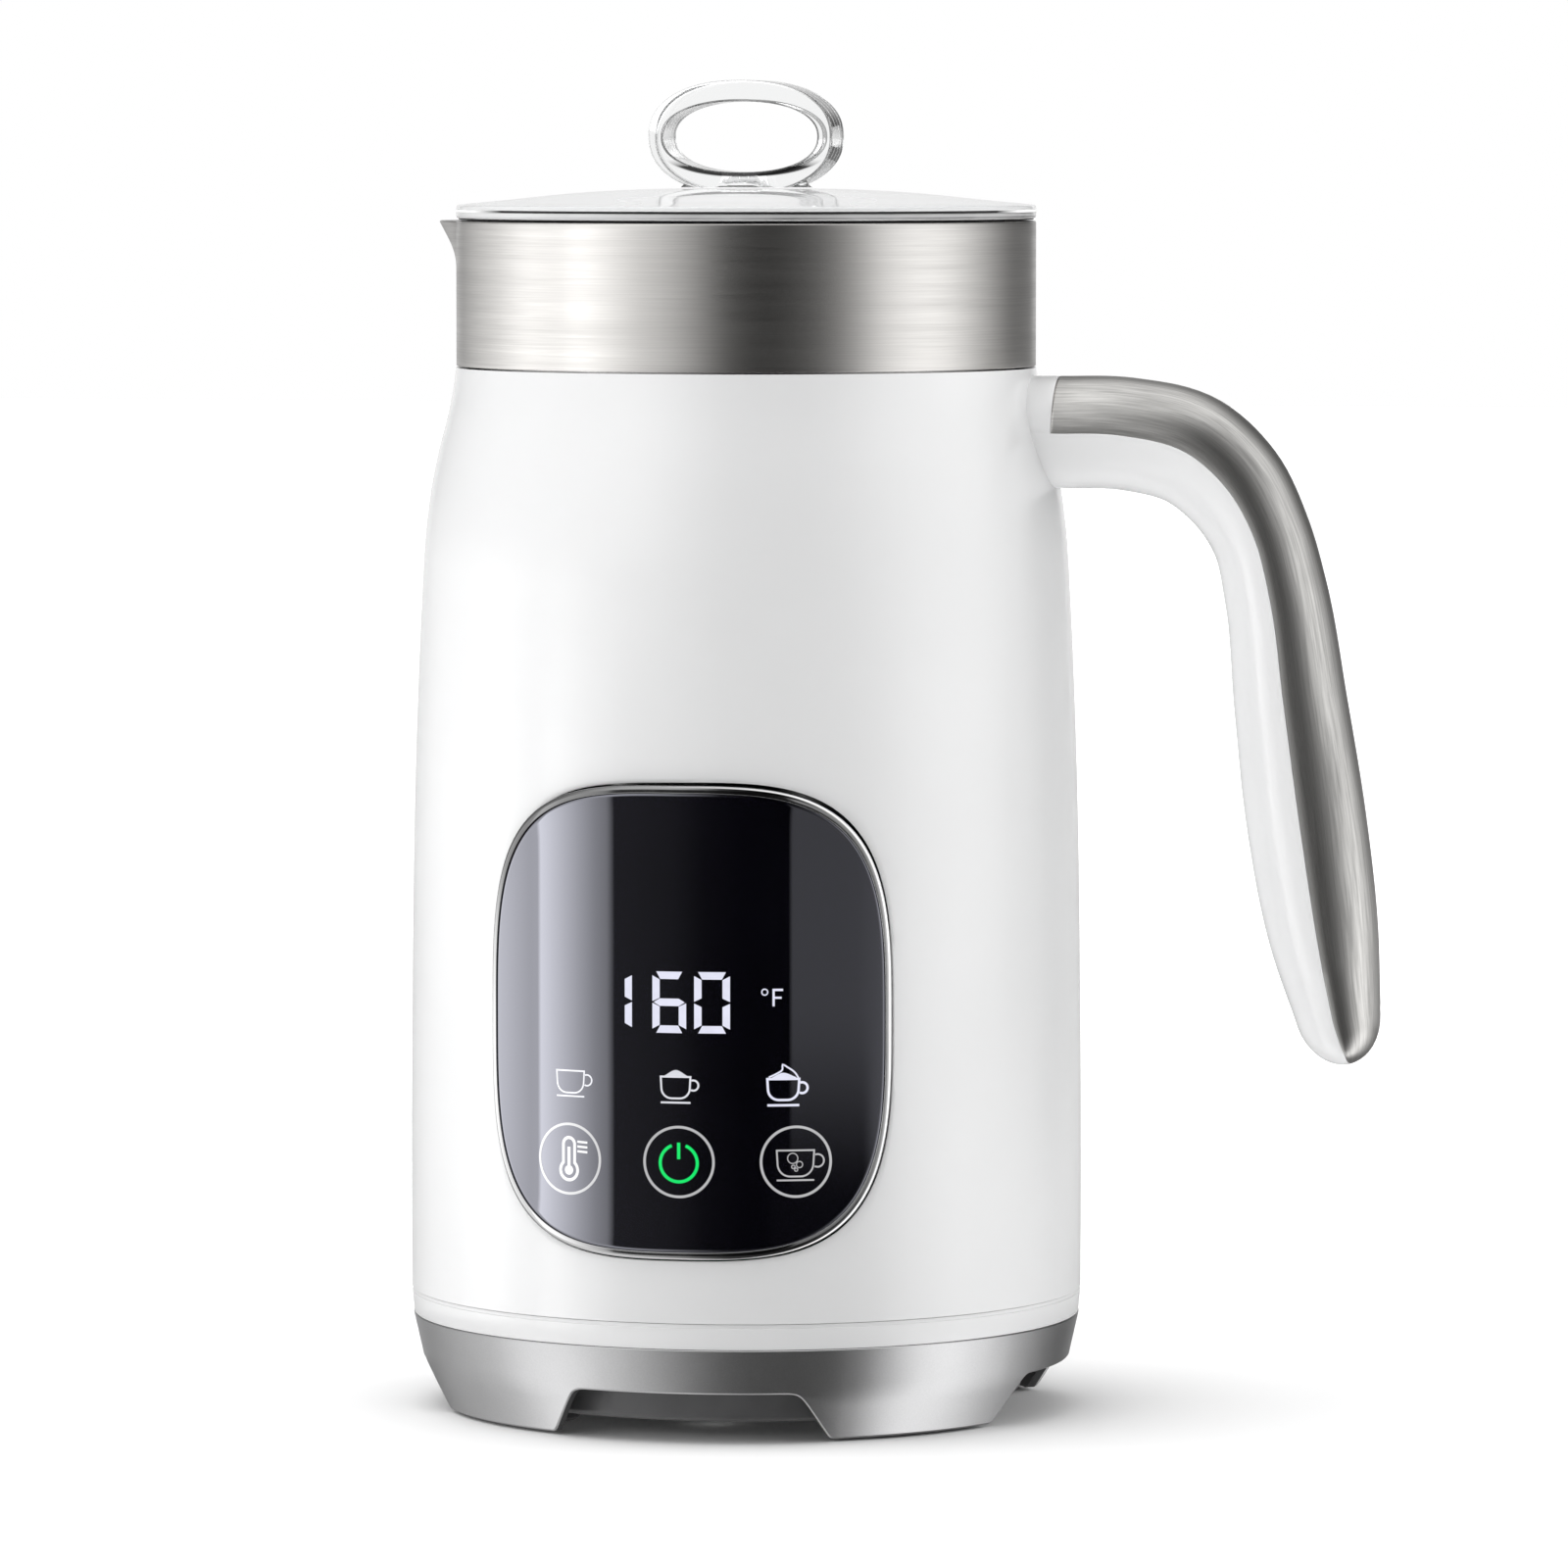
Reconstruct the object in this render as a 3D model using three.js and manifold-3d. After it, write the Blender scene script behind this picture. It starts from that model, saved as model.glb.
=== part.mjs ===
// Milk frother: a jug that heats and whisks milk, standing on a power base. Millimetres, +Z up.
// The jug's axis is vertical. The control panel faces -Y, the handle points to +X, the spout to -X.
// The origin is on the surface that the base stands on, under the middle of the object's outline.
// Heights are measured from that surface. Angles are measured at the jug's axis, from -Y towards +X.
import * as THREE from 'three';
import { mergeVertices } from 'three/addons/utils/BufferGeometryUtils.js';
import Module from 'manifold-3d';

const wasm = await Module();
wasm.setup();

// ---- Driving dimensions -------------------------------------------------------------------------

const GAP = 0.3; // clearance between pieces that touch
const TURN = 2 * Math.PI;
const ROUND = 36; // facets round a large turned piece
const SMALL_ROUND = 16; // facets round a small one
const SCREW_ROUND = 6;

const BODY_R = 60.8; // widest radius of the housing
const WALL = 2; // thickness of the moulded walls
const HANDLE_REACH = 116.1; // from the jug's axis to the outside of the handle
const AXIS_X = (BODY_R - HANDLE_REACH) / 2; // puts the origin under the middle of the outline

const SKIRT_TOP = 17.1; // the power base's upper edge
const SKIRT_KNEE = 8.7; // height where the skirt's slope changes
const SKIRT_FOOT = 0.5; // its lower edge, just off the surface
const SKIRT_R = { foot: 55.3, knee: 58.6, top: 60.5 };
const DRUM_R = 50; // the pan recessed behind the skirt's arches
const DECK_Z = 13.8;
const DECK_TOP = 16.8;
const ARCH = { foot: 24.9, top: 20.4, height: 9, corner: 2.6 }; // half widths at foot and top
const FOOT_PAD = { r: 5, ring: 42, height: 2.7 };
const BASE_SCREW = { ring: 31, r: 1.4, head: 3, low: 3.4, length: 8.2 };
const PAN_LOW = 3; // underside of the pan's rim
const PAN_FLOOR = 5.2; // underside of its recessed middle
const PAN_WALL = 1.6;

const BODY_FOOT = 17.4; // lower edge of the jug's white body
const BODY_SCREW = { ring: 54.5, first: Math.PI };
const GROOVE = { low: 21, high: 21.8 }; // the line round the body above its foot ring
const HOUSING_TOP = 188.3;
const HOUSING_CURVE = [
  [60.75, GROOVE.high],
  [BODY_R, 34],
  [60.2, 105],
  [58.9, 143],
  [57.9, 160],
  [56.1, 171],
  [53.6, 180.5],
  [52.4, HOUSING_TOP],
]; // radius and height up the outside of the housing

const BAND_R = 52.35; // the steel band round the jug's mouth
const RIM_Z = 214.7;
const SPOUT = { reach: 4.55, depth: 8, halfAngle: 0.27 };
const JUG_R = 47.6; // inside of the inner jug
const STEEL = 0.8; // sheet thickness
const JUG_FLOOR = 80.8;
const JUG_CORNER = 6;

const PANEL_Z = 74.9; // middle of the control panel
const PANEL_R = 61.9; // radius of its outer face
const ARC_R = 61.4; // radius at which lengths round the panel are given
const PANEL_POWER = 3.3; // 2 would be an ellipse, more is squarer
const BEZEL = { halfArc: 38.3, halfHeight: 41.7, width: 1.3 };
const PANEL_STEPS = 32;

const LID_R = 52.4;
const LID_Z = 215.7; // underside of the dome at its edge
const LID_RIM = { low: 215.3, high: 217.2 };
const LID_TOP = 220.4; // the flat in the middle of its dome
const KNOB_TOP = 240;
const KNOB = { halfWidth: 16.9, halfHeight: 10.2, holeWidth: 14, holeHeight: 6.3, depth: 12 };

const HANDLE_HALF_WIDTH = 9.5;
const STRIP = { start: 57.3, thickness: 1 };
// Centre line of the handle in the XZ plane, as x, half depth, z.
const HANDLE_LINE = [
  [STRIP.start, 10.1, 176.9],
  [70, 10.15, 176.6],
  [81.8, 10.25, 173.6],
  [88.8, 9.8, 167.6],
  [94, 9, 158.6],
  [96.8, 9.3, 148],
  [99.5, 10.2, 128.3],
  [102.4, 10.8, 107.4],
  [105.6, 9.9, 87],
  [108.4, 7.6, 72.1],
  [110, 5.2, 66.6],
  [110.8, 1.8, 64.1],
];
const HANDLE_STEPS = 16;
const HANDLE_ROOT_X = 46; // the core starts inside the housing and is cut back to its surface
const HANDLE_SCREW = { heights: [171, 180], end: 68 };
const PILOT_R = 1.9; // clearance holes for the housing's and the handle's screws

const DRIVE_MAGNET_X = 9;
const WHISK_R = 17;
const MOTOR = { r: 14, low: 36, high: 62, screwX: 9 };
const HEATER = { ring: 36, tubeR: 3, z: 72.6 };

// ---- Finishes -----------------------------------------------------------------------------------

function finish(color, roughness, metalness, more = {}) {
  return () => new THREE.MeshStandardMaterial({ color, roughness, metalness, ...more });
}

const glossWhite = finish(0xf2f3f4, 0.12, 0);
const brushedSteel = finish(0xb4b2ad, 0.32, 1);
const steel = finish(0xc2c3c4, 0.22, 1);
const silverPaint = finish(0x9a9b9c, 0.42, 0.7);
const chrome = finish(0xe4e6e8, 0.06, 1);
const blackGlass = finish(0x08090d, 0.05, 0);
const clearPlastic = finish(0xf4f8fa, 0.04, 0, { transparent: true, opacity: 0.35 });
const darkPlastic = finish(0x26272a, 0.5, 0);
const greyPlastic = finish(0x8d9093, 0.55, 0);
const rubber = finish(0x1d1d1f, 0.85, 0);
const silicone = finish(0xd8dadb, 0.6, 0);
const brass = finish(0xc9a45a, 0.3, 1);
const aluminium = finish(0xb9bcc0, 0.4, 1);
const boardGreen = finish(0x1f5d3a, 0.6, 0);

// ---- Geometry helpers ---------------------------------------------------------------------------

// Shared corners merged, triangles with no area dropped, and the faces turned to point out.
function closedBody(geometry) {
  const plain = new THREE.BufferGeometry();
  plain.setAttribute('position', geometry.getAttribute('position'));
  if (geometry.index) plain.setIndex(geometry.index);
  const merged = mergeVertices(plain, 1e-4);
  const corners = merged.index.array;
  const kept = [];
  for (let i = 0; i < corners.length; i += 3) {
    const [a, b, c] = corners.slice(i, i + 3);
    if (a !== b && b !== c && c !== a) kept.push(a, b, c);
  }
  merged.setIndex(kept);
  return volume(merged) < 0 ? turnedInsideOut(merged) : merged;
}

function volume(geometry) {
  const position = geometry.getAttribute('position');
  const index = geometry.index.array;
  const [a, b, c] = [new THREE.Vector3(), new THREE.Vector3(), new THREE.Vector3()];
  let sum = 0;
  for (let i = 0; i < index.length; i += 3) {
    a.fromBufferAttribute(position, index[i]);
    b.fromBufferAttribute(position, index[i + 1]);
    c.fromBufferAttribute(position, index[i + 2]);
    sum += a.dot(b.cross(c));
  }
  return sum / 6;
}

function turnedInsideOut(geometry) {
  const index = Array.from(geometry.index.array);
  for (let i = 0; i < index.length; i += 3) {
    [index[i + 1], index[i + 2]] = [index[i + 2], index[i + 1]];
  }
  geometry.setIndex(index);
  return geometry;
}

// A body turned about the vertical axis from points of radius and height.
// Its profile starts and ends on the axis.
function turned(profile, segments = ROUND) {
  const points = profile.map(([r, z]) => new THREE.Vector2(r, z));
  return closedBody(new THREE.LatheGeometry(points, segments).rotateX(Math.PI / 2));
}

// The same from a profile that closes on itself, which leaves a hole along the axis.
function turnedRing(profile, segments = ROUND) {
  return turned([...profile, profile[0]], segments);
}

function cylinder(r, low, high, segments = SMALL_ROUND) {
  return turned([[0, low], [r, low], [r, high], [0, high]], segments);
}

function tube(inner, outer, low, high, segments = ROUND) {
  return turnedRing([[inner, low], [outer, low], [outer, high], [inner, high]], segments);
}

// A body with a straight skin between rings of equally many points. It is closed by a fan of
// triangles at each end, or, when looped, by joining the last ring to the first.
function loft(rings, looped = false) {
  const count = rings[0].length;
  const points = rings.flat();
  const faces = [];
  const last = looped ? rings.length : rings.length - 1;
  for (let i = 0; i < last; i++) {
    const here = i * count;
    const next = ((i + 1) % rings.length) * count;
    for (let j = 0; j < count; j++) {
      const k = (j + 1) % count;
      faces.push(here + j, here + k, next + k, here + j, next + k, next + j);
    }
  }
  if (!looped) {
    for (const [start, flip] of [[0, true], [(rings.length - 1) * count, false]]) {
      const centre = new THREE.Vector3();
      for (let j = 0; j < count; j++) centre.addScaledVector(points[start + j], 1 / count);
      points.push(centre);
      for (let j = 0; j < count; j++) {
        const [a, b] = [start + j, start + ((j + 1) % count)];
        faces.push(...(flip ? [points.length - 1, b, a] : [points.length - 1, a, b]));
      }
    }
  }
  const geometry = new THREE.BufferGeometry().setFromPoints(points);
  geometry.setIndex(faces);
  return closedBody(geometry);
}

function prism(shape, depth, curveSegments = 6) {
  return closedBody(new THREE.ExtrudeGeometry(shape, { depth, curveSegments, bevelEnabled: false }));
}

function box(width, depth, height) {
  return closedBody(new THREE.BoxGeometry(width, depth, height));
}

function toSolid(geometry) {
  const mesh = new wasm.Mesh({
    numProp: 3,
    vertProperties: Float32Array.from(geometry.getAttribute('position').array),
    triVerts: Uint32Array.from(geometry.index.array),
  });
  return new wasm.Manifold(mesh);
}

function fromSolid(solid) {
  const mesh = solid.getMesh();
  const geometry = new THREE.BufferGeometry();
  geometry.setAttribute('position', new THREE.BufferAttribute(mesh.vertProperties, 3));
  geometry.setIndex(new THREE.BufferAttribute(mesh.triVerts, 1));
  return geometry;
}

function cut(geometry, tools) {
  return fromSolid(tools.reduce((solid, tool) => solid.subtract(toSolid(tool)), toSolid(geometry)));
}

function joined(geometry, others) {
  return fromSolid(others.reduce((solid, other) => solid.add(toSolid(other)), toSolid(geometry)));
}

// Moves a body made about the vertical axis out to a ring of the given radius.
function atRing(geometry, radius, angle) {
  return geometry.translate(radius * Math.sin(angle), -radius * Math.cos(angle), 0);
}

// Turns a body made along +Z so that it points outwards from the jug's axis at the given angle.
function pointingOut(geometry, angle, z) {
  return geometry.rotateX(Math.PI / 2).rotateZ(angle).translate(0, 0, z);
}

// Angles of equally spaced copies round the axis.
function around(count, first = 0) {
  return Array.from({ length: count }, (_, i) => first + (TURN * i) / count);
}

// Head at the bottom, shank upwards.
function screw(shankR, headR, headHeight, length) {
  const head = [[0, 0], [headR, 0], [headR, headHeight]];
  const shank = [[shankR, headHeight], [shankR, length], [0, length]];
  return turned([...head, ...shank], SCREW_ROUND);
}

function piece(name, geometry, material) {
  const mesh = new THREE.Mesh(geometry, material());
  mesh.name = name;
  return mesh;
}

function group(...pieces) {
  return new THREE.Group().add(...pieces.flat());
}

// ---- Power base ---------------------------------------------------------------------------------

// The opening between two feet of the skirt, as a block that points outwards.
function archBlock(angle) {
  const slope = (ARCH.foot - ARCH.top) / ARCH.height;
  const below = ARCH.foot + slope;
  const shape = new THREE.Shape();
  shape.moveTo(-below, -1);
  shape.lineTo(below, -1);
  shape.lineTo(ARCH.top + slope * ARCH.corner, ARCH.height - ARCH.corner);
  shape.quadraticCurveTo(ARCH.top, ARCH.height, ARCH.top - ARCH.corner, ARCH.height);
  shape.lineTo(ARCH.corner - ARCH.top, ARCH.height);
  const shoulder = -ARCH.top - slope * ARCH.corner;
  shape.quadraticCurveTo(-ARCH.top, ARCH.height, shoulder, ARCH.height - ARCH.corner);
  return pointingOut(prism(shape, BODY_R - 30, 4).translate(0, 0, 40), angle, 0);
}

function baseSkirt() {
  const shell = turnedRing([
    [SKIRT_R.foot, SKIRT_FOOT],
    [SKIRT_R.knee, SKIRT_KNEE],
    [SKIRT_R.top, SKIRT_TOP],
    [58.3, SKIRT_TOP],
    [58.3, DECK_Z - GAP],
    [54.3, DECK_Z - GAP],
    [54.3, 12],
    [57.2, 11.5],
    [SKIRT_R.knee - WALL, SKIRT_KNEE],
    [SKIRT_R.foot - WALL, SKIRT_FOOT],
  ]);
  return cut(shell, around(4).map(archBlock));
}

// The plate that the jug stands over, with a hole for the connector and three screw bosses below.
function baseDeck() {
  const bossLow = PAN_FLOOR + PAN_WALL + GAP;
  const boss = (a) => atRing(cylinder(4.2, bossLow, DECK_Z + 1, 12), BASE_SCREW.ring, a);
  const hole = (a) => atRing(cylinder(BASE_SCREW.r + 0.35, PAN_FLOOR, 12.4, 12), BASE_SCREW.ring, a);
  return cut(joined(tube(12.3, 58, DECK_Z, DECK_TOP), around(3).map(boss)), around(3).map(hole));
}

function basePan() {
  const bowl = turned([
    [0, PAN_FLOOR],
    [35.5, PAN_FLOOR],
    [36, PAN_LOW],
    [DRUM_R - 0.4, PAN_LOW],
    [DRUM_R, PAN_LOW + 0.4],
    [DRUM_R, DECK_Z - GAP],
    [DRUM_R - 1.8, DECK_Z - GAP],
    [DRUM_R - 1.8, PAN_LOW + PAN_WALL],
    [37.6, PAN_LOW + PAN_WALL],
    [37.1, PAN_FLOOR + PAN_WALL],
    [0, PAN_FLOOR + PAN_WALL],
  ]);
  const hole = (a) => atRing(cylinder(1.8, PAN_FLOOR - 1, PAN_FLOOR + 2, 12), BASE_SCREW.ring, a);
  const slot = pointingOut(prism(stadium(5.3, 2.3), 8).translate(0, 0, 45), Math.PI, 6.9);
  return cut(bowl, [...around(3).map(hole), slot]);
}

// A flat outline with round ends, given its half width and half height.
function stadium(halfWidth, halfHeight) {
  const shape = new THREE.Shape();
  shape.absarc(halfWidth - halfHeight, 0, halfHeight, -Math.PI / 2, Math.PI / 2, false);
  shape.absarc(halfHeight - halfWidth, 0, halfHeight, Math.PI / 2, (3 * Math.PI) / 2, false);
  return shape;
}

// The bush that a flat cord would leave the pan through.
function cordOutlet() {
  const shape = stadium(5, 2);
  shape.holes.push(new THREE.Path(stadium(4, 1).getPoints(6)));
  return pointingOut(prism(shape, 5.5).translate(0, 0, 46.8), Math.PI, 6.9);
}

// The lower half of the connector: a boss with a bore for the pin and a slot for the ring.
function baseCoupler() {
  return turned([
    [0, 11.9],
    [15, 11.9],
    [15, DECK_Z - GAP],
    [12, DECK_Z - GAP],
    [12, 24.2],
    [10, 24.2],
    [10, 15.5],
    [7, 15.5],
    [7, 24.2],
    [4.2, 24.2],
    [4.2, 14.2],
    [0, 14.2],
  ], SMALL_ROUND);
}

function powerBase() {
  const pads = around(4, TURN / 8).map((a, i) => {
    const pad = cylinder(FOOT_PAD.r, 0, FOOT_PAD.height, 12);
    return piece(`rubber_foot_${i + 1}`, atRing(pad, FOOT_PAD.ring, a), rubber);
  });
  const screws = around(3).map((a, i) => {
    const { r, head, low, length } = BASE_SCREW;
    const fastener = screw(r, head, 1.5, length).translate(0, 0, low);
    return piece(`base_screw_${i + 1}`, atRing(fastener, BASE_SCREW.ring, a), steel);
  });
  return group(
    piece('base_skirt', baseSkirt(), silverPaint),
    piece('base_deck', baseDeck(), darkPlastic),
    piece('base_pan', basePan(), darkPlastic),
    piece('base_coupler', baseCoupler(), darkPlastic),
    piece('base_contact_inner', tube(2.9, 3.9, 14.5, 23, 16), brass),
    piece('base_contact_outer', tube(9.1, 9.7, 15.8, 23, SMALL_ROUND), brass),
    piece('cord_outlet', cordOutlet(), rubber),
    pads,
    screws,
  );
}

// ---- Jug body -----------------------------------------------------------------------------------

// Sideways push that forms the spout, for a point of the band at an angle from -Y.
function spoutPush(angle, r, z) {
  const aside = Math.abs(angle - (3 * TURN) / 4) / SPOUT.halfAngle;
  const below = (RIM_Z - z) / SPOUT.depth;
  if (aside >= 1 || below >= 1) return 0;
  const outward = (r - JUG_R) / (BAND_R - JUG_R);
  return SPOUT.reach * (1 - aside) ** 1.25 * (1 - below) ** 1.5 * outward;
}

function rimBand() {
  const low = HOUSING_TOP + GAP;
  const spoutLow = RIM_Z - SPOUT.depth;
  const profile = [
    [BAND_R, low],
    [BAND_R, spoutLow],
    [BAND_R, RIM_Z - 4],
    [BAND_R, RIM_Z],
    [JUG_R, RIM_Z],
    [JUG_R, RIM_Z - STEEL],
    [BAND_R - STEEL, RIM_Z - STEEL],
    [BAND_R - STEEL, RIM_Z - 4],
    [BAND_R - STEEL, spoutLow],
    [BAND_R - STEEL, low],
  ];
  const plain = around(ROUND);
  const fine = [-0.22, -0.1, -0.04, 0.04, 0.1, 0.22].map((a) => (3 * TURN) / 4 + a);
  const angles = [...plain, ...fine].sort((a, b) => a - b);
  const rings = angles.map((angle) =>
    profile.map(([r, z]) => {
      const out = r + spoutPush(angle, r, z);
      return new THREE.Vector3(out * Math.sin(angle), -out * Math.cos(angle), z);
    }));
  return loft(rings, true);
}

// The inner jug: a deep drawn cup with a round corner at its floor.
function jugLiner() {
  const top = RIM_Z - STEEL - GAP;
  const corner = (r, z, radius) => [0, 30, 60, 90].map((degrees) => {
    const a = THREE.MathUtils.degToRad(degrees);
    return [r - radius + radius * Math.sin(a), z + radius - radius * Math.cos(a)];
  });
  const outer = corner(JUG_R + STEEL, JUG_FLOOR - STEEL, JUG_CORNER + STEEL);
  const inner = corner(JUG_R, JUG_FLOOR, JUG_CORNER).reverse();
  return turned([
    [0, JUG_FLOOR - STEEL],
    ...outer,
    [JUG_R + STEEL, top],
    [JUG_R, top],
    ...inner,
    [0, JUG_FLOOR],
  ]);
}

// A closed outline on the panel's face, as arc length and height from its middle.
function panelOutline(halfArc, halfHeight) {
  const power = (value) => Math.sign(value) * Math.abs(value) ** (2 / PANEL_POWER);
  return around(PANEL_STEPS).map((a) => [halfArc * power(Math.cos(a)), halfHeight * power(Math.sin(a))]);
}

// That outline scaled down by inset and bent round the housing at a radius.
function panelRing(inset, radius, scale = 1) {
  const outline = panelOutline(BEZEL.halfArc - inset, BEZEL.halfHeight - inset);
  return outline.map(([arc, height]) => {
    const angle = (arc * scale) / ARC_R;
    return new THREE.Vector3(radius * Math.sin(angle), -radius * Math.cos(angle), PANEL_Z + height * scale);
  });
}

function panelBezel() {
  const inner = BEZEL.width;
  return loft([
    panelRing(0, PANEL_R - 3.1),
    panelRing(0, PANEL_R - 1.2),
    panelRing(0.4, PANEL_R - 0.1),
    panelRing(0.7, PANEL_R),
    panelRing(inner, PANEL_R - 0.1),
    panelRing(inner, PANEL_R - 3.1),
  ], true);
}

function panelGlass() {
  const inset = BEZEL.width + GAP;
  const [front, back] = [PANEL_R - 0.2, PANEL_R - 2.9];
  return loft([
    panelRing(inset, front, 0.3),
    panelRing(inset, front, 0.7),
    panelRing(inset, front),
    panelRing(inset, back),
    panelRing(inset, back, 0.7),
    panelRing(inset, back, 0.3),
  ]);
}

// The moulded outer wall, with a window for the panel and three screw posts inside its foot.
function housingShell() {
  const inside = HOUSING_CURVE.map(([r, z]) => [r - WALL, z]).reverse();
  const wall = turnedRing([...HOUSING_CURVE, ...inside]);
  const at = around(3, BODY_SCREW.first);
  const post = (a) => atRing(cylinder(4.4, 26.3, 38, 12), BODY_SCREW.ring, a);
  const hole = (a) => atRing(cylinder(1.8, 25, 34.5, 12), BODY_SCREW.ring, a);
  const window = loft([panelRing(-GAP, PANEL_R - 10), panelRing(-GAP, PANEL_R + 16)]);
  const screwHoles = HANDLE_SCREW.heights.map((z) =>
    pointingOut(cylinder(PILOT_R, 45, 62, 12), TURN / 4, z));
  return cut(joined(wall, at.map(post)), [...at.map(hole), window, ...screwHoles]);
}

function housingRing() {
  return turnedRing([
    [60.4, BODY_FOOT],
    [60.7, BODY_FOOT + 1.2],
    [60.75, GROOVE.low],
    [58.6, GROOVE.low],
    [58.6, BODY_FOOT],
  ]);
}

// The cover under the jug body, with a spigot that locates the ring and the housing.
function bodyBottom() {
  const disc = turnedRing([
    [16.8, 18.9],
    [58.3, 18.9],
    [58.3, 26],
    [56.3, 26],
    [56.3, 20.9],
    [16.8, 20.9],
  ]);
  const posts = around(3).map((a) => atRing(cylinder(3.2, 20, 29.7, 10), 38, a));
  const screwHole = (a) => atRing(cylinder(1.8, 18, 22, 12), BODY_SCREW.ring, a);
  const holes = around(3, BODY_SCREW.first).map(screwHole);
  return cut(joined(disc, posts), holes);
}

// The upper half of the connector: a socket that fits over the base's boss.
function bodyCoupler() {
  return turnedRing([
    [12.6, 17.6],
    [16.5, 17.6],
    [16.5, 21.2],
    [20, 21.2],
    [20, 22.8],
    [16.5, 22.8],
    [16.5, 27],
    [2.8, 27],
    [2.8, 24.8],
    [12.6, 24.8],
  ], SMALL_ROUND);
}

function jugShell() {
  const screws = around(3, BODY_SCREW.first).map((a, i) => {
    const fastener = screw(1.5, 3, 1, 15.2).translate(0, 0, 17.6);
    return piece(`body_screw_${i + 1}`, atRing(fastener, BODY_SCREW.ring, a), steel);
  });
  return group(
    piece('rim_band', rimBand(), brushedSteel),
    piece('jug_liner', jugLiner(), steel),
    piece('rim_seal', tube(JUG_R + STEEL + GAP, 50.1, 183.6, 187.6), silicone),
    piece('whisk_pin', turned([[0, 81.1], [5, 81.1], [5, 82], [2, 82], [2, 92], [0, 92]], 12), steel),
    piece('housing_shell', housingShell(), glossWhite),
    piece('housing_ring', housingRing(), glossWhite),
    piece('body_bottom', bodyBottom(), darkPlastic),
    piece('body_coupler', bodyCoupler(), darkPlastic),
    piece('body_contact_pin', cylinder(2.4, 17.9, 29.4, 12), brass),
    piece('body_contact_ring', tube(7.8, 8.6, 18.4, 24.5, SMALL_ROUND), brass),
    screws,
  );
}

// ---- Handle -------------------------------------------------------------------------------------

// Cross-sections along the handle: middle, outward direction, half depth and half width.
function handleStations() {
  const line = new THREE.CatmullRomCurve3(HANDLE_LINE.map(([x, half, z]) => new THREE.Vector3(x, half, z)));
  return Array.from({ length: HANDLE_STEPS + 1 }, (_, i) => {
    const u = i / HANDLE_STEPS;
    const at = line.getPointAt(u);
    const along = line.getTangentAt(u);
    const out = new THREE.Vector3(-along.z, 0, along.x).normalize();
    const taper = Math.min(1, at.y / 9) ** 0.7;
    return { at: new THREE.Vector3(at.x, 0, at.z), out, depth: at.y, width: HANDLE_HALF_WIDTH * taper };
  });
}

// A point of a section's oval. Degrees are measured from the outward direction.
function onSection(station, degrees, inset) {
  const a = THREE.MathUtils.degToRad(degrees);
  const depth = Math.max(0.2, station.depth - inset);
  const width = Math.max(0.2, station.width - inset);
  const point = station.at.clone().addScaledVector(station.out, depth * Math.cos(a));
  point.y = width * Math.sin(a);
  return point;
}

const OUTER_ARC = [-60, -30, 0, 30, 60];
const INNER_ARC = [92, 120, 150, 180, 210, 240, 268];

// The core is recessed under the strip, on its outer half.
function coreRing(station, recess) {
  const outer = [-88.5, ...OUTER_ARC, 88.5].map((degrees) => onSection(station, degrees, recess));
  return [...outer, ...INNER_ARC.map((degrees) => onSection(station, degrees, 0))];
}

function stripRing(station) {
  const arc = [-85.5, ...OUTER_ARC, 85.5];
  const outer = arc.map((degrees) => onSection(station, degrees, 0));
  return [...outer, ...arc.reverse().map((degrees) => onSection(station, degrees, STRIP.thickness))];
}

function shifted(station, x) {
  return { ...station, at: station.at.clone().setX(x) };
}

// Everything inside the outer surface of the jug body, with the clearance added.
function jugEnvelope() {
  const side = HOUSING_CURVE.map(([r, z]) => [r + GAP, z]);
  const [[lowR, low]] = side;
  return turned([[0, low], [lowR, low], ...side.slice(1), [BAND_R + GAP, RIM_Z], [0, RIM_Z]]);
}

function handleCore(stations) {
  const recess = STRIP.thickness + GAP;
  const [first] = stations;
  const root = [HANDLE_ROOT_X, first.at.x - 2 * GAP].map((x) => coreRing(shifted(first, x), 0));
  const shoulder = coreRing(shifted(first, first.at.x - GAP), recess);
  const core = loft([...root, shoulder, ...stations.slice(1).map((station) => coreRing(station, recess))]);
  const pilots = HANDLE_SCREW.heights.map((z) =>
    pointingOut(cylinder(PILOT_R, 40, 71, 12), TURN / 4, z));
  return cut(core, [jugEnvelope(), ...pilots]);
}

function housingRadius(z) {
  const next = HOUSING_CURVE.findIndex(([, height]) => height >= z);
  const [[r0, z0], [r1, z1]] = [HOUSING_CURVE[next - 1], HOUSING_CURVE[next]];
  return r0 + ((r1 - r0) * (z - z0)) / (z1 - z0);
}

function handle() {
  const stations = handleStations();
  const screws = HANDLE_SCREW.heights.map((z, i) => {
    const start = housingRadius(z) - WALL - 2.5;
    const fastener = screw(1.5, 3, 1.5, HANDLE_SCREW.end - start).translate(0, 0, start);
    return piece(`handle_screw_${i + 1}`, pointingOut(fastener, TURN / 4, z), steel);
  });
  return group(
    piece('handle_core', handleCore(stations), glossWhite),
    piece('handle_strip', loft(stations.map(stripRing)), brushedSteel),
    screws,
  );
}

// ---- Control panel ------------------------------------------------------------------------------

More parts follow.
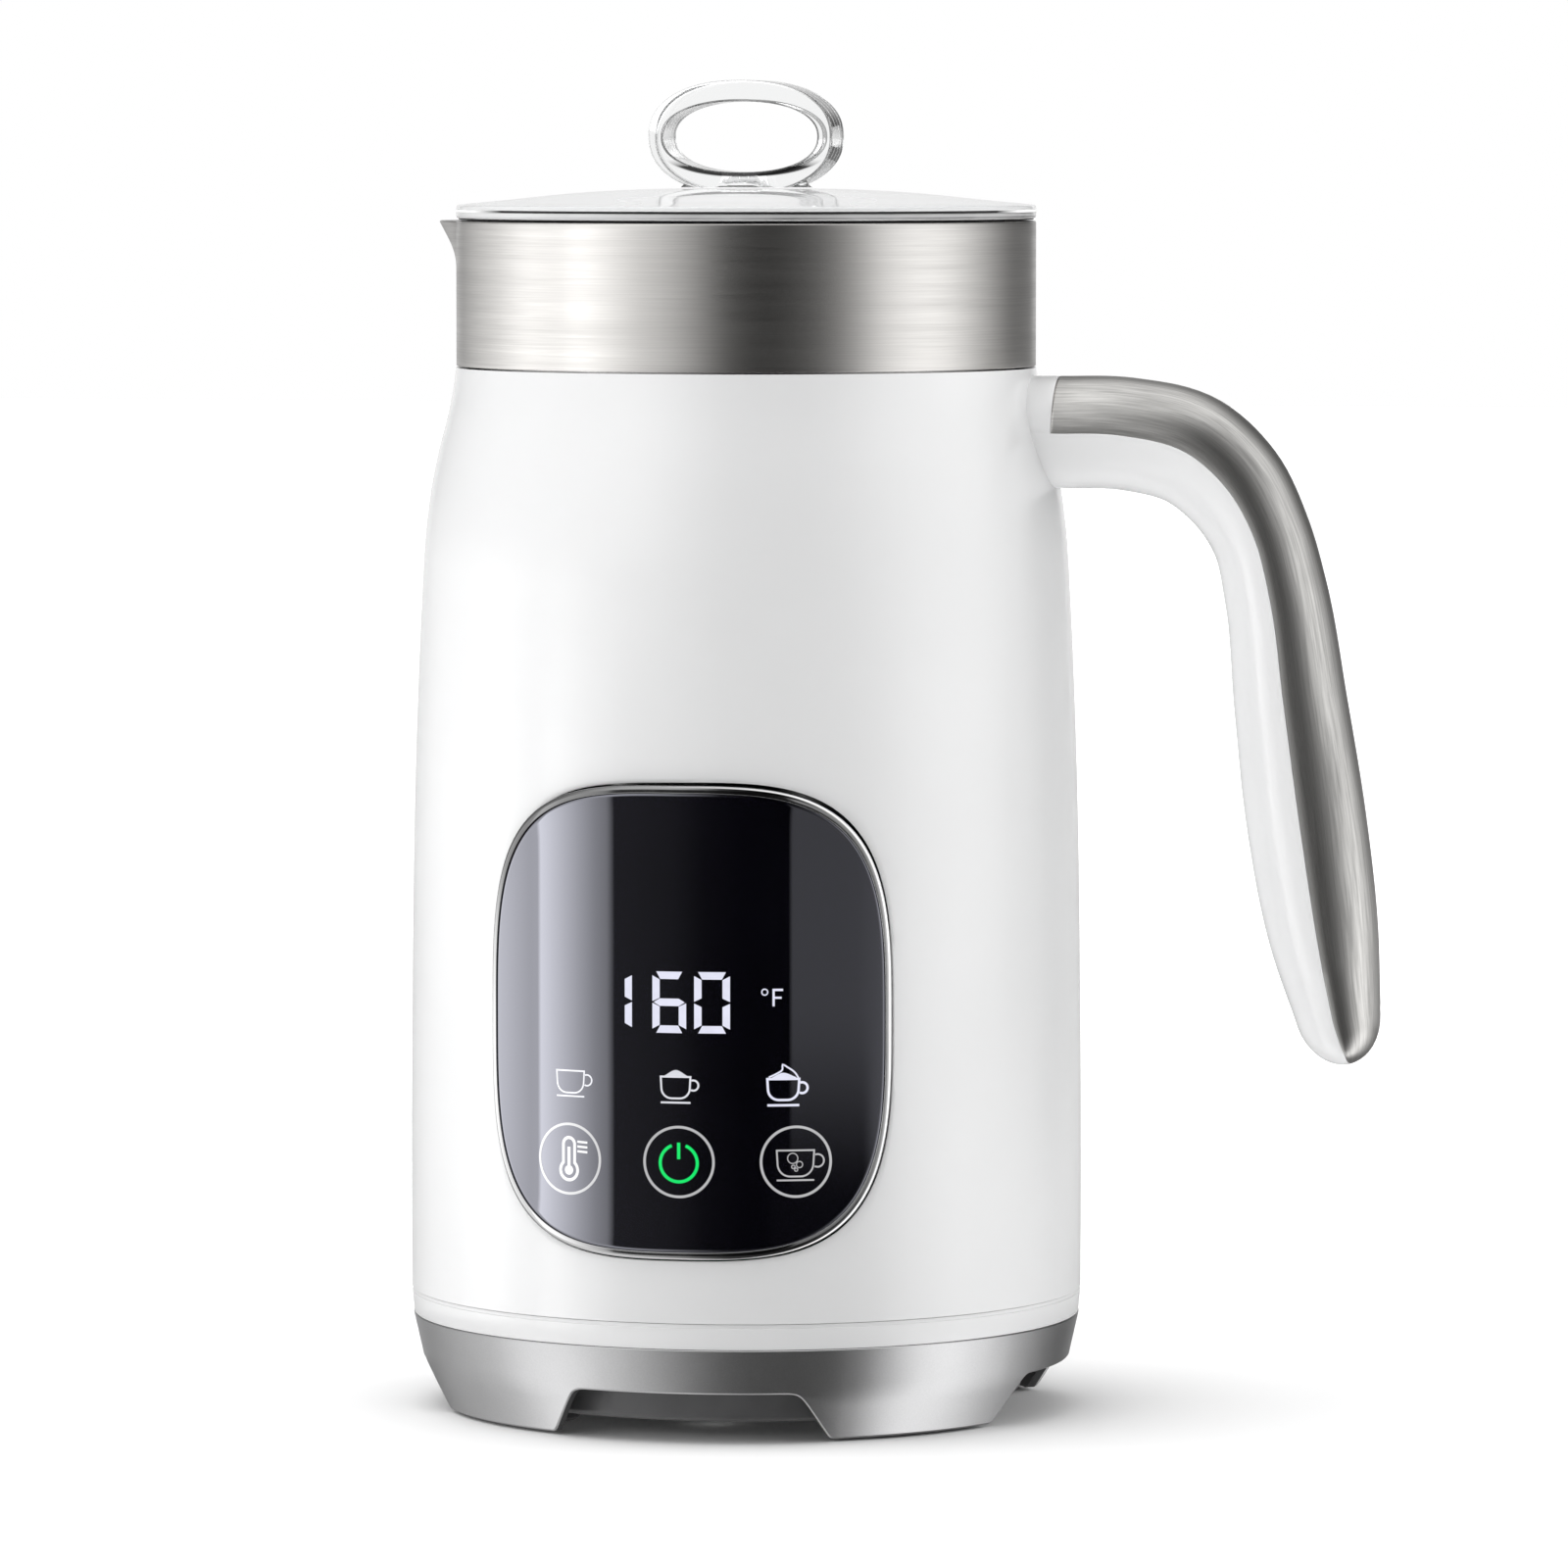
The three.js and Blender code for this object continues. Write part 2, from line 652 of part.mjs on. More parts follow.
function controlPanel() {
  const board = box(50, 1.6, 74).translate(0, -52, PANEL_Z);
  const digits = box(32, 1.9, 15).translate(3, -54.1, 78.6);
  const springs = [-19.5, 0, 19.5].map((x, i) => {
    const reach = x === 0 ? 5 : 1.2;
    const coil = cylinder(x === 0 ? 3.5 : 2.6, 0, reach, 12).rotateX(Math.PI / 2);
    return piece(`touch_spring_${i + 1}`, coil.translate(x, -53.1, 50.4), steel);
  });
  return group(
    piece('panel_bezel', panelBezel(), chrome),
    piece('panel_glass', panelGlass(), blackGlass),
    piece('display_board', board, boardGreen),
    piece('digit_module', digits, darkPlastic),
    springs,
  );
}

// ---- Heater, motor and electronics inside the body ----------------------------------------------

// The tubular heater bent into most of a circle under the plate.
function heaterElement() {
  const { tubeR, ring, z } = HEATER;
  const section = new THREE.Shape().absarc(0, 0, tubeR, 0, TURN, false);
  const angles = around(25).slice(0, 24);
  const path = new THREE.CatmullRomCurve3(
    angles.map((a) => new THREE.Vector3(ring * Math.sin(a), -ring * Math.cos(a), z)),
  );
  const settings = { steps: 24, curveSegments: 3, extrudePath: path };
  return closedBody(new THREE.ExtrudeGeometry(section, settings));
}

function motorCan() {
  const { r, low, high, screwX } = MOTOR;
  const can = turnedRing([
    [2.1, low - 2.5],
    [4, low - 2.5],
    [4, low],
    [r, low],
    [r, high],
    [2.1, high],
  ], SMALL_ROUND);
  const holes = [-screwX, screwX].map((x) =>
    cylinder(1.5, high - 6, high + 1, SCREW_ROUND).translate(x, 0, 0));
  return cut(can, holes);
}

// The plate that carries the motor, hung from the heater plate on three posts.
function motorBracket() {
  const low = MOTOR.high + GAP;
  const posts = around(3).map((a) => atRing(cylinder(3, low + 1, 75.7, 10), 26.5, a));
  const holes = [-MOTOR.screwX, MOTOR.screwX].map((x) =>
    cylinder(1.5, low - 1, low + 3, SCREW_ROUND).translate(x, 0, 0));
  return cut(joined(tube(6, 32, low, low + 2, 24), posts), holes);
}

function insides() {
  const motorScrews = [-MOTOR.screwX, MOTOR.screwX].map((x, i) => {
    const fastener = screw(1.2, 2.6, 1.5, 9).rotateX(Math.PI).translate(x, 0, MOTOR.high + 4.1);
    return piece(`motor_screw_${i + 1}`, fastener, steel);
  });
  return group(
    piece('heater_plate', tube(21, 44, 76, 79.6, 32), aluminium),
    piece('heater_element', heaterElement(), steel),
    piece('temperature_sensor', atRing(cylinder(2.2, 72, 79.6, 10), 18.4, Math.PI), brass),
    piece('thermal_fuse', box(10, 4, 4).translate(0, 28.5, 73.4), greyPlastic),
    piece('motor_can', motorCan(), steel),
    piece('motor_bracket', motorBracket(), aluminium),
    motorScrews,
    piece('control_board', tube(18, 46, 30, 31.6, 24), boardGreen),
    piece('relay', box(15, 19, 15).translate(-31, 8, 39.5), darkPlastic),
    piece('transformer', box(18, 20, 17).translate(30, 8, 40.5), darkPlastic),
  );
}

// ---- Drive and whisk ----------------------------------------------------------------------------

function magnet(side, low, height, r) {
  return cylinder(r, low, low + height, 14).translate(side * DRIVE_MAGNET_X, 0, 0);
}

function drive() {
  return group(
    piece('motor_shaft', cylinder(1.6, 32.5, 76.5, 12), steel),
    piece('magnet_carrier', tube(1.9, 15.5, 71.5, 76.4, SMALL_ROUND), greyPlastic),
    [-1, 1].map((side, i) => piece(`drive_magnet_${i + 1}`, magnet(side, 76.7, 2.5, 4.8), steel)),
  );
}

// The disc and grip of the whisk. It turns on the pin, and magnets sit in pockets under it.
function whiskHub() {
  const disc = turned([
    [0, 92.6],
    [2.4, 92.6],
    [2.4, 82.3],
    [WHISK_R, 82.3],
    [WHISK_R, 86],
    [13.5, 87.6],
    [5.8, 88.8],
    [4.4, 92],
    [5, 98],
    [3.6, 99],
    [0, 99],
  ], 24);
  return cut(disc, [-1, 1].map((side) => magnet(side, 81, 4.4, 5.3)));
}

// The sprung ring round the whisk, as the solid that its turns fill.
function whiskCoil() {
  const [middle, half, height] = [WHISK_R + 2.9, 2.5, 85];
  const section = around(8).map((a) => [middle + half * Math.cos(a), height + half * Math.sin(a)]);
  return turnedRing(section, 24);
}

function whisk() {
  return group(
    piece('whisk_hub', whiskHub(), greyPlastic),
    piece('whisk_coil', whiskCoil(), steel),
    [-1, 1].map((side, i) => piece(`whisk_magnet_${i + 1}`, magnet(side, 82.4, 2.6, 4.9), steel)),
  );
}

// ---- Lid ----------------------------------------------------------------------------------------

function lidPlate() {
  return turned([
    [0, LID_TOP - 2.6],
    [18, LID_TOP - 2.6],
    [42.8, LID_Z],
    [42.8, 209.6],
    [44.6, 209.6],
    [44.6, LID_RIM.low],
    [LID_R - 0.3, LID_RIM.low],
    [LID_R, LID_RIM.low + 0.6],
    [LID_R - 0.3, LID_RIM.high],
    [45, LID_Z + 2.5],
    [31, LID_Z + 4],
    [18, LID_TOP],
    [0, LID_TOP],
  ]);
}

// The gasket: a wall inside the jug's mouth and a thin flange over its rim.
function lidGasket() {
  return turnedRing([
    [45, 209.9],
    [47, 209.9],
    [47, 214.95],
    [51.9, 214.95],
    [51.9, 215.15],
    [45, 215.15],
  ]);
}

function ellipsePoints(halfWidth, halfHeight) {
  return around(24).map((a) => new THREE.Vector2(halfWidth * Math.cos(a), halfHeight * Math.sin(a)));
}

// The standing loop, with rounded edges, joined to an oval foot that sits on the lid.
function lidKnob() {
  const bevel = 1.2;
  const roundIn = 2.6;
  const loop = new THREE.Shape(ellipsePoints(KNOB.halfWidth - bevel, KNOB.halfHeight - bevel));
  loop.holes.push(new THREE.Path(ellipsePoints(KNOB.holeWidth + bevel, KNOB.holeHeight + bevel)));
  const depth = KNOB.depth - 2 * roundIn;
  const settings = { depth, bevelThickness: roundIn, bevelSize: bevel, bevelSegments: 2 };
  const standing = closedBody(new THREE.ExtrudeGeometry(loop, settings).translate(0, 0, -depth / 2));
  standing.rotateX(Math.PI / 2).translate(0, 0, KNOB_TOP - KNOB.halfHeight);
  const seat = LID_TOP + GAP;
  const ovals = [[12.8, 7.2, seat], [12.2, 6.6, seat + 0.4], [10.6, 5.6, seat + 1.6]];
  const foot = loft(ovals.map(([halfX, halfY, z]) =>
    around(20).map((a) => new THREE.Vector3(halfX * Math.cos(a), halfY * Math.sin(a), z))));
  return cut(joined(standing, [foot]), [box(60, 60, 20).translate(0, 0, seat - 10)]);
}

function lid() {
  return group(
    piece('lid_plate', lidPlate(), clearPlastic),
    piece('lid_knob', lidKnob(), clearPlastic),
    piece('lid_gasket', lidGasket(), silicone),
  );
}

// ---- Assembly -----------------------------------------------------------------------------------

const jug = group(jugShell(), handle(), controlPanel(), insides());
const frother = group(powerBase(), jug, drive(), whisk(), lid());
frother.position.x = AXIS_X;

export default frother;
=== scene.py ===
import math

import bpy
import numpy as np
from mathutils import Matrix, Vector


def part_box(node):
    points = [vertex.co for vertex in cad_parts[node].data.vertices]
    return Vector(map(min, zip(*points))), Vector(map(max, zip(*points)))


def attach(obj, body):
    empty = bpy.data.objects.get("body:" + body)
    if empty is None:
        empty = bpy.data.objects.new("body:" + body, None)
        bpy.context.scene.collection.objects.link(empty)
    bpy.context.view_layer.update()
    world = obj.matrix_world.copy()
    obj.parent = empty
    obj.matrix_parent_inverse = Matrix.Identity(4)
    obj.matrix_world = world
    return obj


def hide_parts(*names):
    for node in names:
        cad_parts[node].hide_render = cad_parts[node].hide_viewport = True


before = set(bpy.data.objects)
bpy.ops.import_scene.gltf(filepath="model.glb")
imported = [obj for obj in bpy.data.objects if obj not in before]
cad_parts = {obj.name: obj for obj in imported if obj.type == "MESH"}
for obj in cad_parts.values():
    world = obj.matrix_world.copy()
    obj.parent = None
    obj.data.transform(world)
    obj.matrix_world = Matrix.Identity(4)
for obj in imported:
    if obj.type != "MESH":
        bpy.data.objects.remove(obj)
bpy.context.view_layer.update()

# The looks of a milk frother. Shapes are in millimetres about the jug's axis, as in the CAD:
# the panel faces -Y, the handle points to +X, the spout to -X, and angles run from -Y towards +X.

MM = 0.001
TURN = 2 * math.pi

liner_low, liner_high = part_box("jug_liner")
AXIS = Vector(((liner_low.x + liner_high.x) / 2, (liner_low.y + liner_high.y) / 2, 0))


def heights(node):
    """Lowest and highest z of a CAD node, in mm."""
    low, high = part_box(node)
    return low.z / MM, high.z / MM


def centre(node):
    """Middle of a CAD node about the jug's axis, as x and y in mm."""
    low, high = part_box(node)
    return np.array((low + high) / 2 - AXIS)[:2] / MM


# ---- Mesh helpers ----


def sample(points, count):
    """A smooth curve through points, as count + 1 evenly spaced ones."""
    p = np.array(points, float)
    chord = np.r_[0, np.cumsum(np.linalg.norm(np.diff(p, axis=0), axis=1))]
    slope = np.gradient(p, chord, axis=0)
    t = np.linspace(0, chord[-1], 40 * count)
    i = np.clip(np.searchsorted(chord, t) - 1, 0, len(p) - 2)
    h = (chord[i + 1] - chord[i])[:, None]
    s = (t - chord[i])[:, None] / h
    curve = (
        (2 * s**3 - 3 * s**2 + 1) * p[i]
        + (s**3 - 2 * s**2 + s) * h * slope[i]
        + (3 * s**2 - 2 * s**3) * p[i + 1]
        + (s**3 - s**2) * h * slope[i + 1]
    )
    run = np.r_[0, np.cumsum(np.linalg.norm(np.diff(curve, axis=0), axis=1))]
    at = np.linspace(0, run[-1], count + 1)
    return np.stack([np.interp(at, run, curve[:, k]) for k in range(p.shape[1])], 1)


def rounded(corners, steps=4, closed=True):
    """An outline whose corners, given as (x, y, radius), are arcs."""
    out = []
    for k, corner in enumerate(corners):
        here = Vector(corner[:2])
        radius = corner[2] if len(corner) > 2 else 0
        if not radius or (not closed and k in (0, len(corners) - 1)):
            out.append(tuple(here))
            continue
        a = Vector(corners[k - 1][:2]) - here
        b = Vector(corners[(k + 1) % len(corners)][:2]) - here
        half = a.angle(b) / 2
        reach = min(radius / math.tan(half), 0.49 * a.length, 0.49 * b.length)
        radius = reach * math.tan(half)
        a.normalize()
        b.normalize()
        middle = here + (a + b).normalized() * radius / math.sin(half)
        start, end = here + a * reach - middle, here + b * reach - middle
        sweep = math.pi - 2 * half
        for j in range(steps + 1):
            t = j / steps
            v = start * math.sin((1 - t) * sweep) + end * math.sin(t * sweep)
            out.append(tuple(middle + v / math.sin(sweep)))
    return out


def dense(outline, longest):
    """The same closed outline with long stretches divided."""
    out = []
    for a, b in zip(map(Vector, outline), map(Vector, outline[1:] + outline[:1])):
        parts = max(1, math.ceil((b - a).length / longest))
        out += [tuple(a.lerp(b, j / parts)) for j in range(parts)]
    return out


def piece(name, verts, faces, uvs, finish, body, nodes, sharp=35):
    """A mesh in mm about the jug's axis becomes a piece that stands for CAD nodes. Points that
    coincide are merged. finish is (material, slot); its slot is not used."""
    verts = np.array(verts, float)
    found = np.unique(np.round(verts, 5), axis=0, return_index=True, return_inverse=True)
    first, back = found[1], found[2].reshape(-1)
    kept, kept_uvs = [], []
    for face, uv in zip(faces, uvs or [None] * len(faces)):
        corners = []
        for j, v in enumerate(face):
            w = int(back[v])
            if w not in [c[0] for c in corners]:
                corners.append((w, uv[j] if uv else (0, 0)))
        if len(corners) > 2:
            kept.append([c[0] for c in corners])
            kept_uvs += [c[1] for c in corners]
    me = bpy.data.meshes.new(name)
    me.from_pydata([tuple(v * MM + np.array(AXIS)) for v in verts[first]], [], kept)
    if uvs:
        layer = me.uv_layers.new(name="metric")
        layer.data.foreach_set("uv", np.array(kept_uvs, np.float32).ravel() * MM)
    me.materials.append(finish[0])
    me.shade_smooth()
    me.set_sharp_from_angle(angle=math.radians(sharp))
    made = bpy.data.objects.new(name, me)
    bpy.context.scene.collection.objects.link(made)
    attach(made, body)
    if nodes:
        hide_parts(*nodes)
    return made


def skin(rings, path_closed=False):
    """A closed body from rings of equally many points, with caps unless the path is closed. Its
    UVs are in mm: along the path, round a ring."""
    r = np.array(rings, float)
    m, n = r.shape[:2]
    v = np.r_[0, np.cumsum(np.linalg.norm(np.roll(r, -1, axis=1) - r, axis=2).mean(0))]
    u = np.r_[0, np.cumsum(np.linalg.norm(np.roll(r, -1, axis=0) - r, axis=2).max(1))]
    faces, uvs = [], []
    for i in range(m if path_closed else m - 1):
        k = (i + 1) % m
        for j in range(n):
            q = (j + 1) % n
            faces.append((i * n + j, i * n + q, k * n + q, k * n + j))
            uvs.append(((u[i], v[j]), (u[i], v[j + 1]), (u[i + 1], v[j + 1]), (u[i + 1], v[j])))
    verts = list(r.reshape(-1, 3))
    for start, flip in () if path_closed else ((0, True), ((m - 1) * n, False)):
        verts.append(np.mean(verts[start : start + n], axis=0))
        c = len(verts) - 1
        for j in range(n):
            a, b = start + j, start + (j + 1) % n
            faces.append((c, b, a) if flip else (c, a, b))
            uvs.append(((0, 0),) * 3)
    volume = 0.0
    for f in faces:
        for j in range(1, len(f) - 1):
            volume += verts[f[0]].dot(np.cross(verts[f[j]], verts[f[j + 1]]))
    if volume < 0:  # the faces point inwards
        faces = [f[::-1] for f in faces]
        uvs = [u[::-1] for u in uvs]
    return verts, faces, uvs


def polar(angle, radius, z):
    return (radius * math.sin(angle), -radius * math.cos(angle), z)


def revolved(outline, count=192, at=(0, 0)):
    """A body turned from a closed outline of (radius, z), about a vertical line."""
    rings = []
    for k in range(count):
        a = TURN * k / count
        rings.append([np.add(polar(a, r, z), (*at, 0)) for r, z in outline])
    return skin(rings, path_closed=True)


def turned(name, corners, finish, body, nodes, count=192, at=(0, 0), steps=4, sharp=35):
    """A turned piece from its outline. Corners may carry a radius."""
    return piece(name, *revolved(rounded(corners, steps), count, at), finish, body, nodes, sharp)


def joined(*parts):
    verts, faces, uvs = [], [], []
    for v, f, u in parts:
        faces += [tuple(len(verts) + k for k in face) for face in f]
        verts += list(v)
        uvs += list(u)
    return verts, faces, uvs


# ---- Materials ----


class Nodes:
    """Short calls for the nodes of a tree. An input takes a value or another node's socket."""

    def __init__(self, tree):
        self.tree = tree

    def feed(self, socket, value):
        if isinstance(value, bpy.types.NodeSocket):
            self.tree.links.new(value, socket)
        else:
            socket.default_value = value

    def node(self, kind, inputs=(), **settings):
        made = self.tree.nodes.new("ShaderNode" + kind)
        for key, value in settings.items():
            setattr(made, key, value)
        for key, value in dict(inputs).items():
            self.feed(made.inputs[key], value)
        return made

    def math(self, operation, *values):
        return self.node("Math", enumerate(values), operation=operation).outputs[0]

    def mix(self, fac, a, b, **settings):
        return self.node("Mix", {0: fac, 6: a, 7: b}, data_type="RGBA", **settings).outputs[2]

    def between(self, fac, low, high, start=0.3, end=0.7, **settings):
        inputs = {"Value": fac, "From Min": start, "From Max": end, "To Min": low, "To Max": high}
        return self.node("MapRange", inputs, **settings).outputs["Result"]

    def ramp(self, fac, stops):
        """Runs through stops of (position, colour or grey level)."""
        made = self.node("ValToRGB", {"Fac": fac})
        elements = made.color_ramp.elements
        while len(elements) < len(stops):
            elements.new(0.5)
        for element, (position, colour) in zip(elements, stops):
            element.position = position
            element.color = (*np.broadcast_to(colour, 3), 1)
        return made.outputs["Color"]


class Surface(Nodes):
    """A Principled material, with calls for the patterns in front of it."""

    def __init__(self, name, **sockets):
        self.material = bpy.data.materials.new(name)
        self.material.use_nodes = True
        super().__init__(self.material.node_tree)
        self.shader = self.tree.nodes["Principled BSDF"]
        for socket, value in sockets.items():
            self.set(socket.replace("_", " "), value)

    def set(self, socket, value):
        self.feed(self.shader.inputs[socket], value)

    def coordinates(self, source="Object", stretch=(1, 1, 1)):
        where = self.node("TexCoord").outputs[source]
        return self.node("Mapping", {"Vector": where, "Scale": stretch}).outputs["Vector"]

    def place(self, axis, source="Object"):
        """One of the coordinates, in metres."""
        return self.node("SeparateXYZ", {"Vector": self.coordinates(source)}).outputs[axis]

    def noise(self, size, source="Object", stretch=(1, 1, 1), detail=2.0, roughness=0.5):
        """Noise with blotches of about size metres."""
        vector = self.coordinates(source, stretch)
        inputs = {"Vector": vector, "Scale": 1 / size, "Detail": detail, "Roughness": roughness}
        return self.node("TexNoise", inputs).outputs["Fac"]

    def tint(self, fac, a, b, start=0.3, end=0.7):
        return self.ramp(fac, [(start, a), (end, b)])

    def bump(self, height, distance, strength=1.0):
        inputs = {"Height": height, "Distance": distance, "Strength": strength}
        self.set("Normal", self.node("Bump", inputs).outputs["Normal"])


def part_of(colour, share):
    return tuple(share * c for c in colour)


def gloss_white(name="gloss_white", level=0.745):
    s = Surface(name, IOR=1.9)
    light = (level, level + 0.002, level + 0.005)
    s.set("Base Color", s.tint(s.noise(0.04), part_of(light, 0.973), light))
    s.set("Roughness", s.between(s.noise(0.012, detail=4), 0.2, 0.25))
    orange_peel = s.noise(0.0016, detail=1)
    s.bump(orange_peel, 0.00002, 0.25)
    return s.material


def brushed(name, along, across, colour, rough, spread, contrast, **tangent):
    """Steel with fine parallel scratches that run along the UV map's first axis. They spread
    its reflections across them."""
    s = Surface(name, Metallic=1.0, Anisotropic=spread, Anisotropic_Rotation=0.25)
    fine = s.noise(1, "UV", (along, across, 1), detail=5, roughness=0.6)
    broad = s.noise(1, "UV", (along / 3, across / 9, 1), detail=2)
    mixed = s.math("ADD", s.math("MULTIPLY", fine, 0.65), s.math("MULTIPLY", broad, 0.35))
    s.set("Base Color", s.tint(mixed, part_of(colour, 1 - contrast), colour, 0.34, 0.62))
    s.set("Roughness", s.between(mixed, rough + 0.06, rough - 0.04, 0.34, 0.62))
    s.set("Tangent", s.node("Tangent", **tangent).outputs["Tangent"])
    s.bump(mixed, 0.00001, 0.5)
    return s.material


def plain_steel(name="steel", colour=(0.66, 0.66, 0.65), rough=0.24):
    s = Surface(name, Metallic=1.0)
    drawn = s.noise(0.001, stretch=(1, 1, 0.08), detail=3)
    s.set("Base Color", s.tint(drawn, part_of(colour, 0.9), colour))
    s.set("Roughness", s.between(s.noise(0.006, detail=4), rough - 0.05, rough + 0.06))
    s.bump(drawn, 0.00001, 0.3)
    return s.material


def silver_paint(outside):
    """Silver lacquer on the first metres of each section, which are the outer face, and painted
    shade, near black and not metallic, on the rest of it."""
    s = Surface("silver_paint")
    spark = s.noise(0.0003, detail=1)
    cloud = s.noise(0.02, detail=3)
    shade = s.math("ADD", s.math("MULTIPLY", spark, 0.4), s.math("MULTIPLY", cloud, 0.6))
    silver = s.tint(shade, (0.47, 0.47, 0.475), (0.53, 0.53, 0.535), 0.35, 0.65)
    # Painted shade: past the outer face the section is coloured near black, for the shade inside
    # the skirt.
    painted_shade_inside = s.between(s.place("Y", "UV"), 0, 1, outside, outside + 0.0001)
    s.set("Base Color", s.mix(painted_shade_inside, silver, (0.03, 0.03, 0.031, 1)))
    s.set("Metallic", s.between(painted_shade_inside, 0.92, 0, 0, 1))
    rough = s.between(spark, 0.28, 0.31)
    s.set("Roughness", s.math("ADD", rough, s.math("MULTIPLY", painted_shade_inside, 0.35)))
    s.bump(spark, 0.000004, 0.08)
    return s.material


def chrome(round_length):
    """Polished round the frame, with a painted reflection in its colour: bright on the right and
    dark towards the top left.
    """
    s = Surface("chrome", Metallic=1.0)
    # Painted reflection: the colour round the frame runs from bright on the right to dark at the
    # top left.
    painted_reflection = s.ramp(
        s.math("DIVIDE", s.place("Y", "UV"), round_length),
        [(0, 0.97), (0.17, 0.97), (0.23, 0.55), (0.27, 0.3), (0.33, 0.12), (0.4, 0.13),
         (0.45, 0.28), (0.52, 0.4), (0.6, 0.35), (0.68, 0.4), (0.78, 0.6), (0.86, 0.75), (1, 0.97)],
    )
    blotches = s.noise(0.003, detail=4)
    uneven = s.tint(blotches, (0.95, 0.95, 0.96), (1, 1, 1))
    s.set("Base Color", s.mix(1.0, painted_reflection, uneven, blend_type="MULTIPLY"))
    s.set("Roughness", s.between(blotches, 0.07, 0.13))
    return s.material


def panel_glass():
    s = Surface("panel_glass", IOR=2.6, Specular_Tint=(0.88, 0.89, 1.0, 1))
    s.set("Base Color", s.tint(s.noise(0.03), (0.0012, 0.001, 0.0025), (0.002, 0.0018, 0.0038)))
    s.set("Roughness", s.between(s.noise(0.008, detail=5), 0.0, 0.02))
    return s.material


def clear_plastic(name, transmission, size=0.005, detail=4, low=0.02, high=0.05):
    """Scatters the light that it doesn't pass on."""
    s = Surface(name, IOR=1.49, Transmission_Weight=transmission)
    s.set("Roughness", s.between(s.noise(size, detail=detail), low, high))
    return s


def milky_plastic():
    s = clear_plastic("milky_plastic", 0.35)
    s.set("Base Color", s.tint(s.noise(0.02), (0.91, 0.915, 0.92), (0.94, 0.943, 0.945)))
    return s.material


def moulded(name, colour, rough, grain=0.0004):
    """Plastic or rubber with a fine spark-eroded grain and slight changes of shade."""
    s = Surface(name)
    s.set("Base Color", s.tint(s.noise(0.008, detail=3), part_of(colour, 0.85), colour))
    s.set("Roughness", s.between(s.noise(grain * 4, detail=4), rough - 0.06, rough + 0.08))
    s.bump(s.noise(grain, detail=1), grain * 0.08, 0.4)
    return s.material


def board():
    """Green solder mask with darker tracks."""
    s = Surface("circuit_board")
    inputs = {"Vector": s.coordinates(), "Scale": 1 / 0.003}
    cells = s.node("TexVoronoi", inputs, distance="MANHATTAN").outputs["Distance"]
    s.set("Base Color", s.tint(cells, (0.02, 0.14, 0.06), (0.01, 0.08, 0.035), 0.3, 0.36))
    s.set("Roughness", s.between(s.noise(0.004), 0.3, 0.45))
    s.bump(cells, 0.00005, 0.3)
    return s.material


def glow(name, colour):
    """A lit mark on the panel, a little uneven as a diffused LED is."""
    s = Surface(name, Roughness=0.08, IOR=2.6, Base_Color=(0.01, 0.01, 0.012, 1))
    s.set("Emission Color", s.tint(s.noise(0.0025, detail=2), part_of(colour, 0.93), colour))
    s.set("Emission Strength", 1.0)
    return s.material


# Finishes are pairs of a material and the record's slot.
WHITE = (gloss_white(), "gloss_white")
# Painted light: a lighter copy of the housing's gloss white, used for the handle.
HANDLE_WHITE_PAINTED_LIGHTER = (gloss_white("handle_white", 0.85), "gloss_white")
BAND = (
    brushed("brushed_band", 45, 4200, (0.69, 0.675, 0.655), 0.36, 0.75, 0.14,
            direction_type="RADIAL", axis="Z"),
    "brushed_steel",
)
STRIP = (
    brushed("brushed_strip", 80, 2300, (0.72, 0.71, 0.69), 0.33, 0.62, 0.42,
            direction_type="UV_MAP", uv_map="metric"),
    "brushed_steel",
)
STEEL = (plain_steel(), "steel")
DRAWN_STEEL = (plain_steel("drawn_steel", (0.68, 0.675, 0.665), 0.2), "steel")
GLASS = (panel_glass(), "panel_glass")
MILKY = (milky_plastic(), "clear_plastic")
DARK = (moulded("dark_plastic", (0.035, 0.036, 0.04), 0.45), "dark_plastic")
GREY = (moulded("grey_plastic", (0.28, 0.29, 0.3), 0.5), "grey_plastic")
DRUM = (moulded("drum_plastic", (0.13, 0.13, 0.133), 0.4), "dark_plastic")
RUBBER = (moulded("rubber", (0.02, 0.02, 0.021), 0.8, 0.0006), "rubber")
SILICONE = (moulded("silicone", (0.05, 0.05, 0.052), 0.42, 0.0003), "silicone")
BRASS = (plain_steel("brass", (0.75, 0.55, 0.26), 0.28), "brass")
ALUMINIUM = (plain_steel("aluminium", (0.7, 0.71, 0.72), 0.38), "aluminium")
BOARD = (board(), "circuit_board")
DISPLAY_LIGHT = (glow("display_light", (0.8, 0.81, 0.95)), "display_light")
SOFT_LIGHT = (glow("display_light_soft", (0.74, 0.75, 0.8)), "display_light")
KEY_LIGHT = (glow("key_light", (0.5, 0.5, 0.51)), "key_light")
BRIGHT_LIGHT = (glow("key_light_bright", (0.72, 0.72, 0.73)), "key_light")
POWER_LIGHT = (glow("power_light", (0.0, 0.83, 0.15)), "power_light")


# ---- Power base ----

SKIRT_LOW, SKIRT_TOP = heights("base_skirt")
SKIRT_KNEE = 8.7
SKIRT_R = ((SKIRT_LOW, 55.3), (SKIRT_KNEE, 58.6), (SKIRT_TOP, 60.5))
SKIRT_WALL = 2
ARCH = {"foot": 24.9, "top": 20.4, "height": 9.0, "corner": 2.4}


def skirt_radius(z):
    return float(np.interp(z, *zip(*SKIRT_R)))


